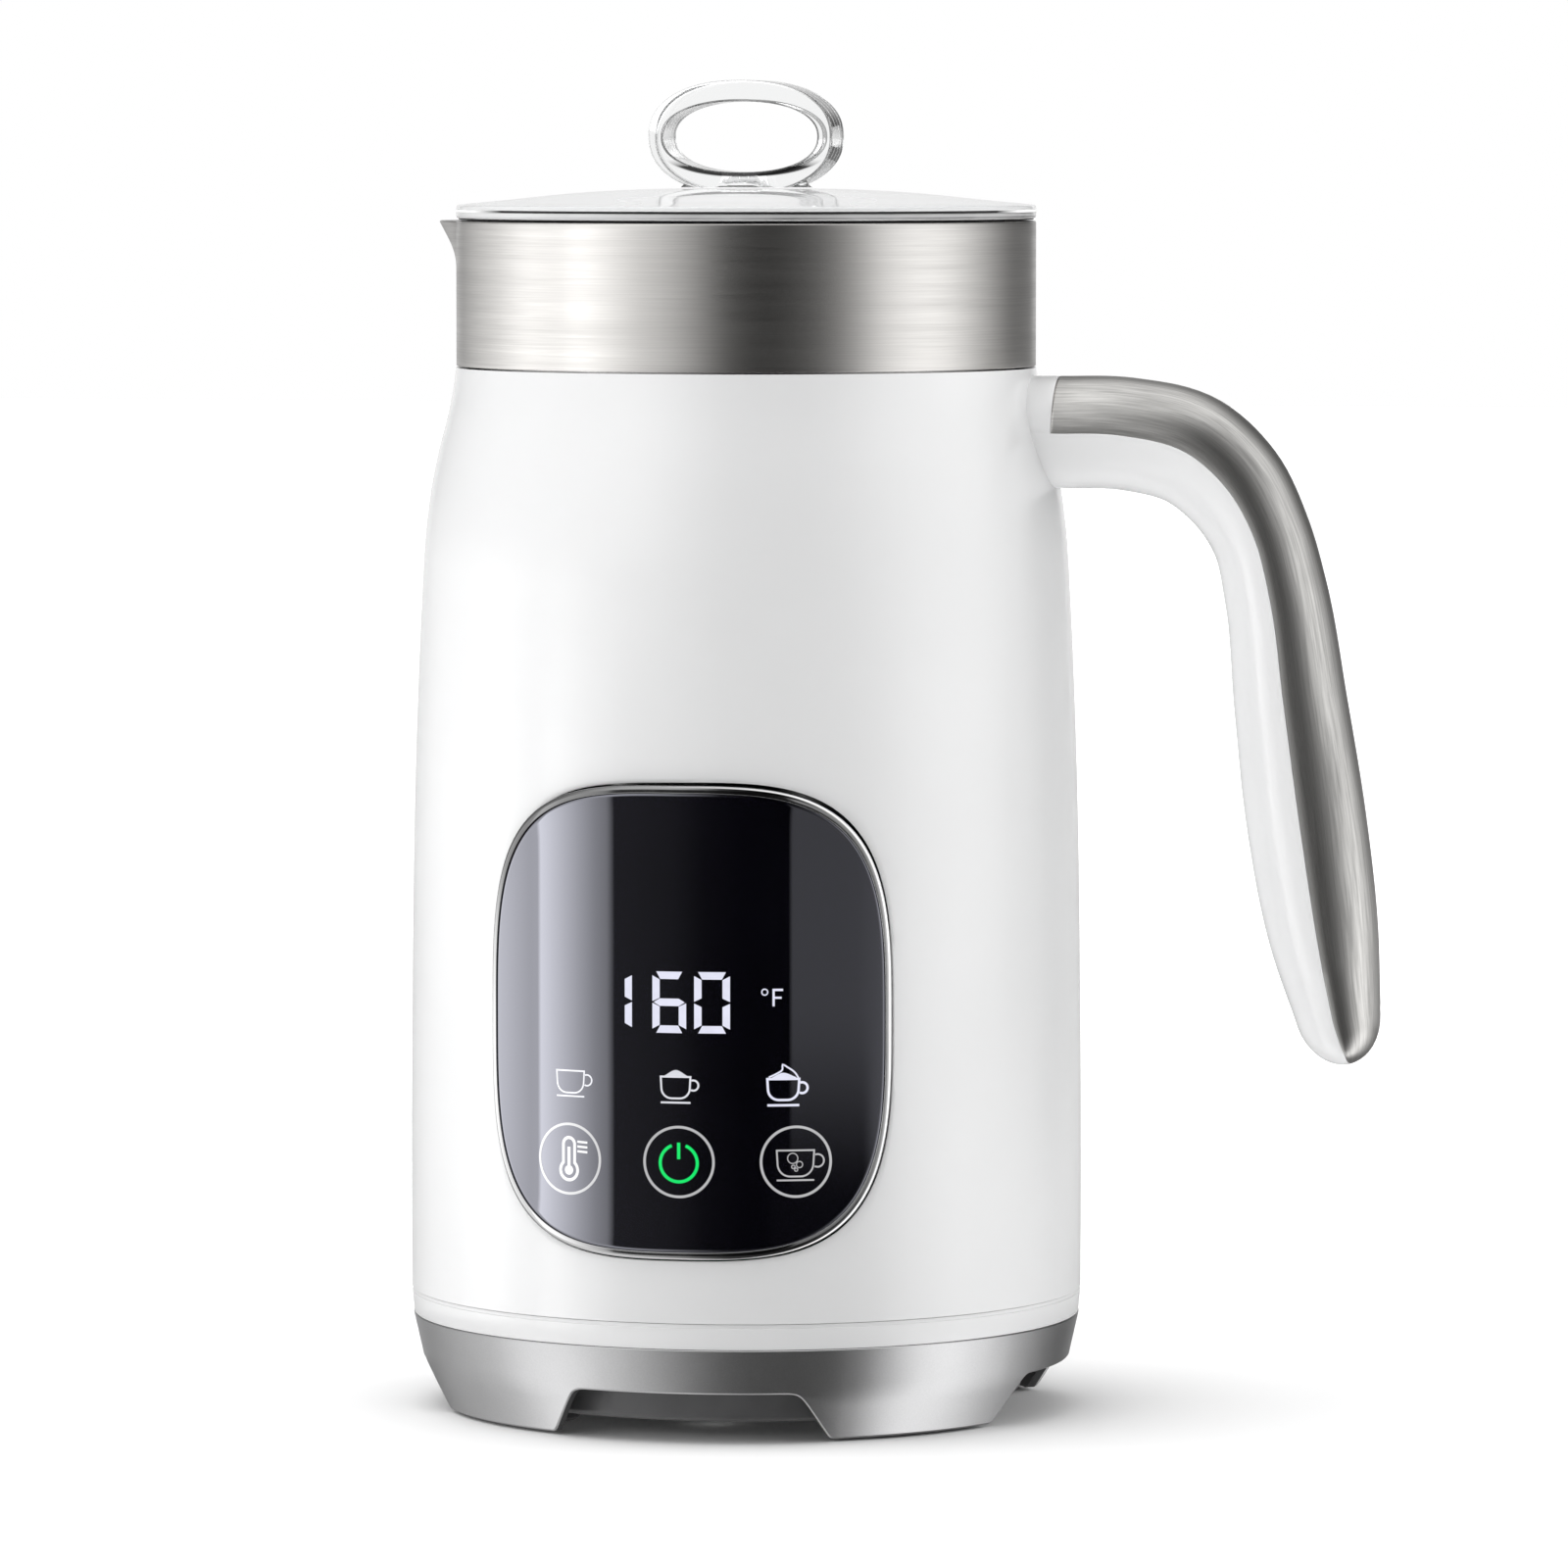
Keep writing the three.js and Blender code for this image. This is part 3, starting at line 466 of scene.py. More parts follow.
def arch_low(angle):
    """Height of the skirt's lower edge at an angle from the middle of an arch."""
    slope = ARCH["height"] / (ARCH["foot"] - ARCH["top"])
    soft, foot_soft = ARCH["corner"] * 0.45, 0.3
    low = SKIRT_KNEE / 2
    for _ in range(10):
        side = skirt_radius(low) * math.sin(abs(angle))
        straight = SKIRT_LOW + (ARCH["foot"] - side) * slope
        top = ARCH["height"] - soft * math.log1p(math.exp((ARCH["height"] - straight) / soft))
        low = SKIRT_LOW + foot_soft * math.log1p(math.exp((top - SKIRT_LOW) / foot_soft))
    return low


def base_skirt():
    chamfer, crown = 0.35, 0.15
    half = np.r_[np.linspace(0, 15, 8), np.linspace(16, 28, 30), np.linspace(28, 45, 9)[1:]]
    angles = np.radians(np.r_[-half[-2:0:-1], half])
    rings = []
    for q in range(4):
        for a in angles:
            low = arch_low(a)
            knee = max(SKIRT_KNEE, low + 0.8)
            out = [
                (skirt_radius(low) - 1.25 * chamfer, low),
                (skirt_radius(low) - 0.4 * chamfer, low + 0.3 * chamfer),
                (skirt_radius(low + chamfer), low + chamfer),
            ]
            out += [(skirt_radius(z), z) for z in np.linspace(low + chamfer, knee, 5)[1:]]
            out += [(skirt_radius(z), z) for z in np.linspace(knee, SKIRT_TOP - crown, 5)[1:]]
            outside = len(out)  # steps of the section on the outer face
            out += [(skirt_radius(SKIRT_TOP) - crown, SKIRT_TOP), (58.3, SKIRT_TOP), (58.2, 13.6)]
            out += [(skirt_radius(z) - SKIRT_WALL, z) for z in (knee, low)]
            rings.append([polar(a + q * TURN / 4, r, z) for r, z in out])
    steps = np.linalg.norm(np.diff(np.array(rings)[:, : outside + 1], axis=1), axis=2)
    silver = (silver_paint(float(steps.mean(0).sum()) * MM), "silver_paint")
    piece("skirt", *skin(rings, path_closed=True), silver, "power_base", ["base_skirt"], 18)


def power_base():
    low = heights("base_pan")[0]
    base_skirt()
    pan = [
        (0, 5.2), (35.5, 5.2, 0.4), (36, low, 0.4), (50, low, 1.2), (50, 13.5), (48.2, 13.5),
        (48.2, 4.6, 0.8), (37.6, 4.6, 0.4), (37.1, 6.8, 0.4), (0, 6.8),
    ]
    turned("drum", pan, DRUM, "power_base", ["base_pan"])
    deck_low, deck_top = 13.8, heights("base_deck")[1]
    deck = [
        (12.3, deck_low), (58, deck_low), (58, deck_top, 0.4), (55.5, deck_top, 0.3),
        (55.2, deck_top - 0.5, 0.2), (32, deck_top - 0.5, 0.2), (31.6, deck_top, 0.3),
        (12.3, deck_top, 0.4),
    ]
    turned("deck", deck, DARK, "power_base", ["base_deck"])
    top = heights("base_coupler")[1]
    coupler = [
        (0, 11.9), (15, 11.9), (15, 13.5), (12, 13.5), (12, top, 0.8), (10, top, 0.4),
        (10, 15.5, 0.3), (7, 15.5, 0.3), (7, top, 0.4), (4.2, top, 0.4), (4.2, 14.2), (0, 14.2),
    ]
    turned("base_connector", coupler, DARK, "power_base", ["base_coupler"], 96)
    for name, inner, outer in (("base_contact_inner", 2.9, 3.9), ("base_contact_outer", 9.1, 9.7)):
        bottom, top = heights(name)
        edge = [(inner, bottom), (outer, bottom), (outer, top, 0.25), (inner, top, 0.25)]
        turned(name + "_ring", edge, BRASS, "power_base", [name], 64)
    for k in range(4):
        node = f"rubber_foot_{k + 1}"
        top = heights(node)[1]
        pad = [(0, 0), (4, 0, 0.3), (5, 0.7, 0.4), (5, top), (0, top)]
        turned(f"foot_{k + 1}", pad, RUBBER, "power_base", [node], 48, centre(node))
    for k in range(3):
        screw(f"base_screw_{k + 1}", "power_base", 1.4, 3)


def screw(node, body, shank, head):
    """A pan head screw, pointing up, with a cross pressed into its head."""
    bottom, top = heights(node)
    cross_half_width, cross_reach, cross_depth = 0.35, 1.9, 0.7
    outline = [
        (0, bottom), (head, bottom, 0.5), (head, bottom + 1.5, 0.2), (shank, bottom + 1.5),
        (shank, top - 1), (0, top),
    ]
    verts, faces, uvs = revolved(dense(rounded(outline, 3), 0.4), 48)
    p = np.array(verts)
    aside = np.abs(p[:, :2])
    cross = (aside.min(1) < cross_half_width) & (np.hypot(*aside.T) < cross_reach)
    p[cross & (p[:, 2] < bottom + 0.2), 2] += cross_depth
    p += (*centre(node), 0)
    piece(node + "_cross", list(p), faces, uvs, STEEL, body, [node], 40)


# ---- Jug body ----

BAND_R = 52.35
BAND_LOW, RIM = heights("rim_band")
HOUSING_LOW, HOUSING_TOP = heights("housing_shell")
HOUSING = sample(
    [
        (60.75, HOUSING_LOW), (60.8, 34), (60.6, 77), (60.2, 105), (59.55, 127), (58.7, 146),
        (57.9, 159), (57.0, 166.1), (55.6, 173.2), (54.1, 179), (53.0, 184), (52.4, HOUSING_TOP),
    ],
    160,
)
PANEL_Z = 74.9
PANEL_R = 61.9
ARC_R = 61.4  # radius at which lengths round the panel are given
PANEL_POWER = 3.3
BEZEL_ARC, BEZEL_HEIGHT, BEZEL_WIDTH = 38.3, 41.7, 1.3
GLASS_R = PANEL_R - 0.2
SPOUT = {"reach": 4.55, "depth": 8, "half_angle": 0.27}
JUG_R = 47.6


def housing_radius(z):
    return float(np.interp(z, HOUSING[:, 1], HOUSING[:, 0]))


def superellipse(direction, half_width, half_height, power=PANEL_POWER):
    """The point of a squarish ellipse in a direction from its middle."""
    c, s = math.cos(direction), math.sin(direction)
    reach = (abs(c / half_width) ** power + abs(s / half_height) ** power) ** (-1 / power)
    return reach * c, reach * s


def housing_shell():
    """The outer wall as a grid round the body, with a patch whose rings turn into the window."""
    columns, hole_columns = 208, 24
    step = TURN / columns
    z_low, z_high = PANEL_Z - 48, PANEL_Z + 48
    rows = np.r_[
        HOUSING_LOW, HOUSING_LOW + 0.5, np.linspace(23, z_low, 3)[:-1],
        np.linspace(z_low, z_high, 41), np.linspace(z_high, HOUSING_TOP - 0.5, 34)[1:], HOUSING_TOP,
    ]
    inside = [k for k, z in enumerate(rows) if z_low - 1e-6 <= z <= z_high + 1e-6]
    first, last = inside[0], inside[-1]

    def at(angle, z, depth=0):
        return polar(angle, housing_radius(z) - depth, z)

    verts = [at(step * (c - hole_columns), z) for z in rows for c in range(columns)]
    faces = []
    for i in range(len(rows) - 1):
        for c in range(columns):
            if first <= i < last and c < 2 * hole_columns:
                continue
            d = (c + 1) % columns
            below, above = i * columns, (i + 1) * columns
            faces.append([below + c, below + d, above + d, above + c])
    edge = [first * columns + c for c in range(2 * hole_columns)]
    edge += [i * columns + 2 * hole_columns for i in range(first, last)]
    edge += [last * columns + c for c in range(2 * hole_columns, 0, -1)]
    edge += [i * columns for i in range(last, first, -1)]
    flat = []
    for v in edge:
        x, y, z = verts[v]
        flat.append((math.atan2(x, -y) * ARC_R, z - PANEL_Z))
    previous = edge
    for share in (0.75, 0.5, 0.28, 0.12, 0.03, 0.0):
        ring = []
        for arc, height in flat:
            direction = math.atan2(height, arc)
            gap = 0.3 + 0.5 * max(0, math.cos(direction - 0.3))  # wider on the right
            a, h = superellipse(direction, BEZEL_ARC + gap, BEZEL_HEIGHT + gap)
            ring.append(len(verts))
            arc, height = a + (arc - a) * share, h + (height - h) * share
            verts.append(at(arc / ARC_R, PANEL_Z + height, 0 if share else 0.12))
        for j in range(len(edge)):
            faces.append([previous[j - 1], previous[j], ring[j], ring[j - 1]])
        previous = ring
    made = piece("housing", verts, faces, None, WHITE, "frother", ["housing_shell"])
    wall = made.modifiers.new("wall", "SOLIDIFY")
    wall.thickness = 2 * MM
    wall.offset = -1
    wall.use_even_offset = False
    bevel = made.modifiers.new("edges", "BEVEL")
    bevel.width = 0.2 * MM
    bevel.segments = 3
    bevel.limit_method = "ANGLE"
    bevel.angle_limit = math.radians(50)
    bevel.harden_normals = True


def spout_push(angle, r, z):
    aside = math.hypot(angle + TURN / 4, 0.012) / SPOUT["half_angle"]
    below = (RIM - z) / SPOUT["depth"]
    if aside >= 1 or below >= 1:
        return 0
    outward = (r - JUG_R) / (BAND_R - JUG_R)
    return SPOUT["reach"] * 1.05 * (1 - aside) ** 1.2 * (1 - below) ** 0.97 * outward


def rim_band():
    sheet = 0.8
    outline = rounded([
        (BAND_R, BAND_LOW, 0.15), (BAND_R, RIM, 0.35), (JUG_R, RIM, 0.35),
        (JUG_R, RIM - sheet, 0.1), (BAND_R - sheet, RIM - sheet, 0.3),
        (BAND_R - sheet, BAND_LOW, 0.1),
    ], 5)
    outline = dense(outline, 1.0)
    plain = np.linspace(-math.pi, math.pi, 241)[:-1]
    fine = -TURN / 4 + np.linspace(-0.28, 0.28, 57)
    angles = np.unique(np.round(np.r_[plain, fine], 5))
    angles = angles[np.r_[True, np.diff(angles) > 0.002]]
    rings = [[polar(a, r + spout_push(a, r, z), z) for r, z in outline] for a in angles]
    piece("band", *skin(rings, path_closed=True), BAND, "frother", ["rim_band"], 30)


def jug_body():
    housing_shell()
    rim_band()
    low, high = heights("housing_ring")
    tongue = HOUSING_LOW - 0.1  # closes the groove under the housing to a shallow one
    foot = [
        (60.35, low - 0.22, 0.1), (60.72, high, 0.3), (60.55, high + 0.05, 0.08),
        (60.55, tongue, 0.08), (58.6, tongue, 0.1), (58.6, low, 0.2), (60.1, low, 0.1),
        (60.1, low - 0.22, 0.05),
    ]
    turned("foot_ring", foot, WHITE, "frother", ["housing_ring"])
    top = heights("jug_liner")[1]
    floor = 80.8
    liner = [
        (0, floor - 0.8), (48.4, floor - 0.8, 6.8), (48.4, top), (JUG_R, top, 0.1),
        (JUG_R, floor, 6), (24, floor, 0.6), (23.6, floor + 0.5, 0.4), (19, floor + 0.5, 0.4),
        (18.6, floor, 0.6), (0, floor),
    ]
    turned("inner_jug", liner, DRAWN_STEEL, "frother", ["jug_liner"], steps=8)
    pin = [(0, 81.1), (5, 81.1), (5, 82, 0.3), (2, 82, 0.4), (2, 92, 0.8), (0, 92)]
    turned("pin", pin, STEEL, "frother", ["whisk_pin"], 48)
    low, high = heights("rim_seal")
    seal = [(48.7, low, 0.4), (50.1, low, 0.4), (50.1, high, 0.4), (48.7, high, 0.4)]
    turned("upper_seal", seal, SILICONE, "frother", ["rim_seal"])
    bottom = [
        (16.8, 18.9, 0.3), (30, 18.9, 0.2), (30.4, 19.3, 0.2), (52, 19.3, 0.2), (52.4, 18.9, 0.2),
        (58.3, 18.9, 0.3), (58.3, 26, 0.3), (56.3, 26, 0.3), (56.3, 20.9, 0.3), (16.8, 20.9, 0.3),
    ]
    turned("bottom_cover", bottom, DARK, "frother", ["body_bottom"])
    socket = [
        (12.6, 17.6, 0.3), (16.5, 17.6, 0.5), (16.5, 21.2), (20, 21.2, 0.3), (20, 22.8, 0.3),
        (16.5, 22.8), (16.5, 27, 0.4), (2.8, 27, 0.3), (2.8, 24.8, 0.2), (12.6, 24.8, 0.3),
    ]
    turned("jug_connector", socket, DARK, "frother", ["body_coupler"], 96)
    low, high = heights("body_contact_pin")
    pin = [(0, low), (2.4, low, 0.8), (2.4, high), (0, high)]
    turned("contact_pin", pin, BRASS, "frother", ["body_contact_pin"], 48)
    low, high = heights("body_contact_ring")
    ring = [(7.8, low, 0.3), (8.6, low, 0.3), (8.6, high), (7.8, high)]
    turned("contact_ring", ring, BRASS, "frother", ["body_contact_ring"], 64)
    for k in range(3):
        screw(f"body_screw_{k + 1}", "frother", 1.5, 3)


# ---- Control panel ----


def panel_ring(inset, radius, scale=1.0, count=288):
    out = []
    for k in range(count):
        direction = TURN * k / count
        aspect = math.atan2(math.sin(direction) * BEZEL_HEIGHT, math.cos(direction) * BEZEL_ARC)
        arc, height = superellipse(aspect, BEZEL_ARC - inset, BEZEL_HEIGHT - inset)
        out.append(polar(arc * scale / ARC_R, radius, PANEL_Z + height * scale))
    return out


def control_panel():
    top, back = PANEL_R, PANEL_R - 3.1
    section = [(0, back), (0, top, 1.05), (BEZEL_WIDTH, top - 0.02, 0.08), (BEZEL_WIDTH, back)]
    section = rounded(section, 8)
    rings = np.array([panel_ring(inset, radius) for inset, radius in section])
    round_length = np.linalg.norm(np.roll(rings, -1, axis=1) - rings, axis=2).mean(0).sum()
    polished = (chrome(float(round_length) * MM), "chrome")
    piece("bezel", *skin(rings, path_closed=True), polished, "frother", ["panel_bezel"], 40)
    front, back, inset = GLASS_R, PANEL_R - 2.9, BEZEL_WIDTH + 0.03
    scales = np.linspace(0.06, 1, 18)
    rings = [panel_ring(inset + 0.3, front, s) for s in (*scales[:-1], 0.992, 1)]
    rings += [panel_ring(inset + 0.1, front - 0.03), panel_ring(inset, front - 0.12)]
    rings += [panel_ring(inset, back, s) for s in scales[::-1]]
    piece("glass", *skin(rings), GLASS, "frother", ["panel_glass"], 40)


class Marks:
    """Flat marks on the glass, each a thin closed plate bent round with it."""

    base = GLASS_R - 0.02
    height = 0.05
    longest = 0.8

    def __init__(self):
        self.parts = []

    def quad_strip(self, left, right, closed=False):
        """A plate between two lines of equally many (arc, z) points, divided to follow
        the glass."""
        pairs = np.stack([np.array(left, float), np.array(right, float)], 1)
        if closed:
            pairs = np.concatenate([pairs, pairs[:1]])
        steps = []
        for here, there in zip(pairs[:-1], pairs[1:]):
            parts = max(1, math.ceil(np.linalg.norm(there - here, axis=1).max() / self.longest))
            steps += [here + (there - here) * j / parts for j in range(parts)]
        if not closed:
            steps.append(pairs[-1])
        low, high = self.base, self.base + self.height
        rings = []
        for a, b in steps:
            corners = ((a, low), (b, low), (b, high), (a, high))
            rings.append([polar(p[0] / ARC_R, r, p[1]) for p, r in corners])
        self.parts.append(skin(rings, path_closed=closed))

    def stroke(self, points, width, closed=False):
        """A line of constant width with mitred corners."""
        p = np.array(points, float)
        n = len(p)
        left, right = [], []
        for k in range(n):
            before = p[k] - p[k - 1] if closed or k else p[1] - p[0]
            after = p[(k + 1) % n] - p[k] if closed or k < n - 1 else p[k] - p[k - 1]
            a, b = before / np.linalg.norm(before), after / np.linalg.norm(after)
            middle = (a + b) / max(1e-6, np.linalg.norm(a + b))
            side = np.array((-middle[1], middle[0])) * width / 2 / max(0.5, float(middle.dot(a)))
            left.append(p[k] + side)
            right.append(p[k] - side)
        self.quad_strip(left, right, closed)

    def arc(self, x, z, radius, width, start=0, end=360, steps=None):
        steps = steps or max(10, int(abs(end - start) / 8))
        closed = abs(end - start) >= 360
        ticks = np.radians(np.linspace(start, end, steps + 1))[: -1 if closed else None]
        points = [(x + radius * math.cos(t), z + radius * math.sin(t)) for t in ticks]
        self.stroke(points, width, closed)

    def polygon(self, corners):
        """A convex plate with an even number of corners."""
        half = len(corners) // 2
        self.quad_strip(corners[:half], corners[half:][::-1])

    def disc(self, x, z, radius):
        self.arc(x, z, radius / 2, radius * 0.999)

    def make(self, name, finish):
        return piece(name, *joined(*self.parts), finish, "frother", [])


def digit(marks, segments, x0, x1, low, high, t=1.32, gap=0.09, chamfer=0.62):
    """A seven-segment digit. Segments are lettered a to f, clockwise from the top, and g in the
    middle."""
    mid = (low + high) / 2
    for letter in segments:
        if letter in "ad":
            y, inward = (high, -1) if letter == "a" else (low, 1)
            marks.polygon([
                (x0 + chamfer + gap, y), (x1 - chamfer - gap, y),
                (x1 - t - gap, y + inward * t), (x0 + t + gap, y + inward * t),
            ])
        elif letter == "g":
            marks.polygon([
                (x0 + 0.25, mid), (x0 + t, mid + t / 2), (x1 - t, mid + t / 2),
                (x1 - 0.25, mid), (x1 - t, mid - t / 2), (x0 + t, mid - t / 2),
            ])
        else:
            x, inward = (x0, 1) if letter in "fe" else (x1, -1)
            end, sign = (high, 1) if letter in "fb" else (low, -1)
            marks.polygon([
                (x, end - sign * (chamfer + gap)), (x, mid + sign * 1.6 * gap),
                (x + inward * t, mid + sign * (t / 2 + 1.2 * gap)),
                (x + inward * t, end - sign * (t + gap)),
            ])


def cup(marks, x, z, width, line, depth):
    """A cup seen from the side, over its saucer's line. x and z are its rim's left end."""
    slope, corner = width * 0.04, width * 0.34
    left, right, low = x + slope, x + width - slope, z - depth
    outline = [(x, z), (left, low, corner), (right, low, corner), (x + width, z)]
    marks.stroke(rounded(outline, 8), line, closed=True)
    ring = width * 0.17
    marks.arc(x + width + ring * 0.55, z - width * 0.28, ring, line, 112, -118)
    marks.stroke([(x, low - 2.2 * line), (x + width, low - 2.2 * line)], line)


def foam(marks, crest, z):
    marks.quad_strip(sample(crest, 12), sample([(x, z) for x, _ in crest], 12))


def display():
    lit = Marks()
    low, high = 73.2, 84.0
    digit(lit, "bc", -12.0, -8.35, low + 0.15, high - 0.1)
    digit(lit, "acdefg", -4.6, 1.45, low, high)
    digit(lit, "abcdef", 2.85, 9.15, low, high)
    lit.arc(15.2, 80.5, 0.52, 0.22)
    lit.stroke([(16.75, 78.0), (16.75, 80.88), (18.4, 80.88)], 0.4)
    lit.stroke([(16.75, 79.5), (18.15, 79.5)], 0.38)
    cup(lit, 15.65, 65.2, 5.6, 0.42, 3.7)
    swirl = [
        (15.9, 65.5), (17.2, 66.1), (18.3, 66.9), (18.3, 67.7), (19.3, 67.2), (20.6, 66.2),
        (21.1, 65.4),
    ]
    lit.stroke(sample(swirl, 24), 0.3)
    foam(lit, [(16.4, 65.45), (18.4, 66.3), (20.7, 65.5)], 65.3)
    lit.make("display_digits", DISPLAY_LIGHT)

    faint = Marks()
    cup(faint, -23.1, 65.9, 5.6, 0.27, 3.9)
    cup(faint, -3.1, 65.5, 5.3, 0.34, 3.8)
    foam(faint, [(-2.4, 65.7), (-0.4, 66.7), (1.6, 65.7)], 65.5)
    faint.make("display_cups", SOFT_LIGHT)

    keys = Marks()
    for x, z in ((-20.6, 50.3), (0.1, 50.5), (20.7, 50.6)):
        keys.arc(x, z, 6.15, 0.46, steps=72)
    cup(keys, 17.3, 52.6, 6.6, 0.3, 4.6)
    for x, z, r in ((20.1, 51.2, 0.9), (21.3, 50.1, 0.55), (20.2, 49.7, 0.3), (20.7, 49.2, 0.28)):
        keys.arc(x, z, r, 0.16)
    keys.make("touch_rings", KEY_LIGHT)

    bright = Marks()
    x, z = -20.6, 48.3
    bulb, stem = 1.75, 1.15
    ends = ((z + 4.6, stem, np.linspace(0, 180, 13)), (z, bulb, np.linspace(131, 409, 25)))
    outline = [
        (x + radius * math.cos(a), middle + radius * math.sin(a))
        for middle, radius, ticks in ends
        for a in np.radians(ticks)
    ]
    bright.stroke(outline, 0.55, closed=True)
    bright.disc(x, z, 0.85)
    bright.stroke([(x, z + 0.5), (x, z + 4.1)], 0.62)
    for k in range(3):
        bright.stroke([(x + 1.7, z + 5.1 - 0.85 * k), (x + 3.7, z + 5.0 - 0.85 * k)], 0.4)
    bright.make("temperature_mark", BRIGHT_LIGHT)

    power = Marks()
    power.arc(0.1, 50.3, 3.3, 0.56, 112, 428, 60)
    power.stroke([(0.1, 51.0), (0.1, 53.9)], 0.58)
    power.make("power_mark", POWER_LIGHT)


# ---- Handle ----

STRIP_START = 57.3
HANDLE_HALF_WIDTH = 9.5
# Middle of the section as x and z, and half its depth, down to where the tip starts to close.
HANDLE_LINE = [
    (STRIP_START, 176.9, 10.1), (70, 176.6, 10.15), (81.8, 173.6, 10.25), (88.8, 167.6, 9.8),
    (94, 158.6, 9.0), (96.8, 148, 9.3), (99.5, 128.3, 10.2), (102.4, 107.4, 10.8),
    (105.6, 87, 9.9), (108.4, 72.1, 7.6),
]
HANDLE_TIP = (110.7, 63.95)


def handle_sections():
    """Sections of the handle as middle, outward direction, half depth and half width. They lie
    closer together at its start, and an ellipse closes the tip."""
    fine = 8
    line = sample(HANDLE_LINE, 96 * fine)
    line = line[[0, 1, 2, 3, 4, 6, *range(fine, len(line), fine)]]
    end, begin = np.array((*HANDLE_TIP, 0)), math.radians(10)
    start = line[-1] * (1, 1, 0)
    deep = line[-1][2] / math.cos(begin)
    for t in np.radians((18, 27, 36, 45, 54, 62, 70, 77, 83, 87, 89.5)):
        way = (math.sin(t) - math.sin(begin)) / (1 - math.sin(begin))
        line = np.vstack([line, start + (end - start) * way + (0, 0, deep * math.cos(t))])
    run = np.r_[0, np.cumsum(np.linalg.norm(np.diff(line[:, :2], axis=0), axis=1))]
    along = np.gradient(line[:, :2], run, axis=0)
    along /= np.linalg.norm(along, axis=1)[:, None]
    out = []
    for (x, z, depth), (dx, dz) in zip(line, along):
        width = HANDLE_HALF_WIDTH * min(1, depth / 9) ** 0.7
        out.append((np.array((x, 0, z)), np.array((-dz, 0, dx)), depth, width))
    return out


def section_points(section, degrees, inset):
    at, out, depth, width = section
    depth, width = max(0.08, depth - inset), max(0.08, width - inset)
    points = []
    for a in np.radians(degrees):
        p = at + out * depth * math.cos(a)
        p[1] = width * math.sin(a)
        points.append(p)
    return points


def handle():
    sections = handle_sections()
    arc, sheet, turned_in = np.linspace(-89.5, 89.5, 45), 1.0, 0.12
    rings = []
    for k, section in enumerate(sections):
        dip = (0.06, 0.01)[k] if k < 2 else 0
        outer = section_points(section, arc, dip)
        outer[0], outer[-1] = section_points(section, arc[[0, -1]], turned_in)
        rings.append(outer + section_points(section, arc[::-1], sheet))
    piece("handle_steel", *skin(rings), STRIP, "frother", ["handle_strip"], 50)

    recess, lip = 1.15, 0.05
    outer_arc = np.linspace(-89, 89, 21)
    inner_arc = np.linspace(91, 269, 41)

    def core(section, depth):
        first, last = section_points(section, (-89.9, 89.9), lip)
        outer = section_points(section, outer_arc, depth)
        return [first, *outer, last, *section_points(section, inner_arc, 0)]

    at, *rest = sections[0]
    collar = [
        (48, 0), (56, 0), (STRIP_START - 0.2, 0), (STRIP_START - 0.06, 0.03),
        (STRIP_START - 0.03, 0.12), (STRIP_START - 0.03, recess),
    ]
    rings = [core((np.array((x, 0, at[2])), *rest), depth) for x, depth in collar]
    rings += [core(section, recess) for section in sections[1:]]
    piece("handle_white", *skin(rings), HANDLE_WHITE_PAINTED_LIGHTER, "frother", ["handle_core"], 40)


# ---- Lid ----

LID_R = 52.4
LID_LOW = 215.15
LID_SEAM = 216.33  # where the dome meets the rim
LID_JOINT = 0.42
LID_TOP = 220.4
KNOB_OUTER, KNOB_INNER, KNOB_POWER = (16.9, 10.2), (14.1, 6.35), 2.25
KNOB_HALF_DEPTH, KNOB_CORNER = 6.0, 0.45
KNOB_SEAT, KNOB_TOP = heights("lid_knob")
KNOB_Z = KNOB_TOP - KNOB_OUTER[1]


def rim_plastic():
    """The lid's plastic, with painted reflections of the band and the seal in its thick edge, as
    light and dark streaks.
    """
    s = clear_plastic("rim_plastic", 0.35)
    height = s.between(s.place("Z"), 0, 1, LID_LOW * MM, LID_SEAM * MM)
    # Painted reflection: grey and dark streaks by height in the rim's edge, fading out towards the
    # left.
    painted_streaks = s.ramp(
        height,
        [(0, 0.8), (0.14, 0.85), (0.24, 0.12), (0.42, 0.12), (0.54, 0.5), (0.78, 0.5), (1, 0.12)],
    )
    side = s.between(s.place("X"), 0.1, 1, AXIS.x - 30 * MM, AXIS.x + 20 * MM)
    uneven = s.between(s.noise(0.012, stretch=(1, 1, 3)), 0.55, 1)
    s.set("Base Color", s.mix(s.math("MULTIPLY", side, uneven), (0.92, 0.923, 0.925, 1), painted_streaks))
    return s.material


def painted_shadow_ring():
    """A dark ring of painted shadow under the dome's edge, with painted highlight that whitens it
    at both ends.
    """
    s = Surface("painted_shadow_ring", Roughness=0.5, Specular_IOR_Level=0.15)
    x = s.place("X")
    # Painted shadow in the middle of the ring, and painted highlight whitening both ends.
    left = s.between(x, 0, 1, AXIS.x - 44 * MM, AXIS.x - 37 * MM)
    painted_shade = s.math("MULTIPLY", left, s.between(x, 1, 0, AXIS.x + 49 * MM, AXIS.x + 51.5 * MM))
    painted_shade = s.math("MULTIPLY", painted_shade, s.between(s.noise(0.01), 0.98, 1))
    s.set("Base Color", s.mix(painted_shade, (0.9, 0.9, 0.9, 1), (0.01, 0.01, 0.01, 1)))
    return s.material


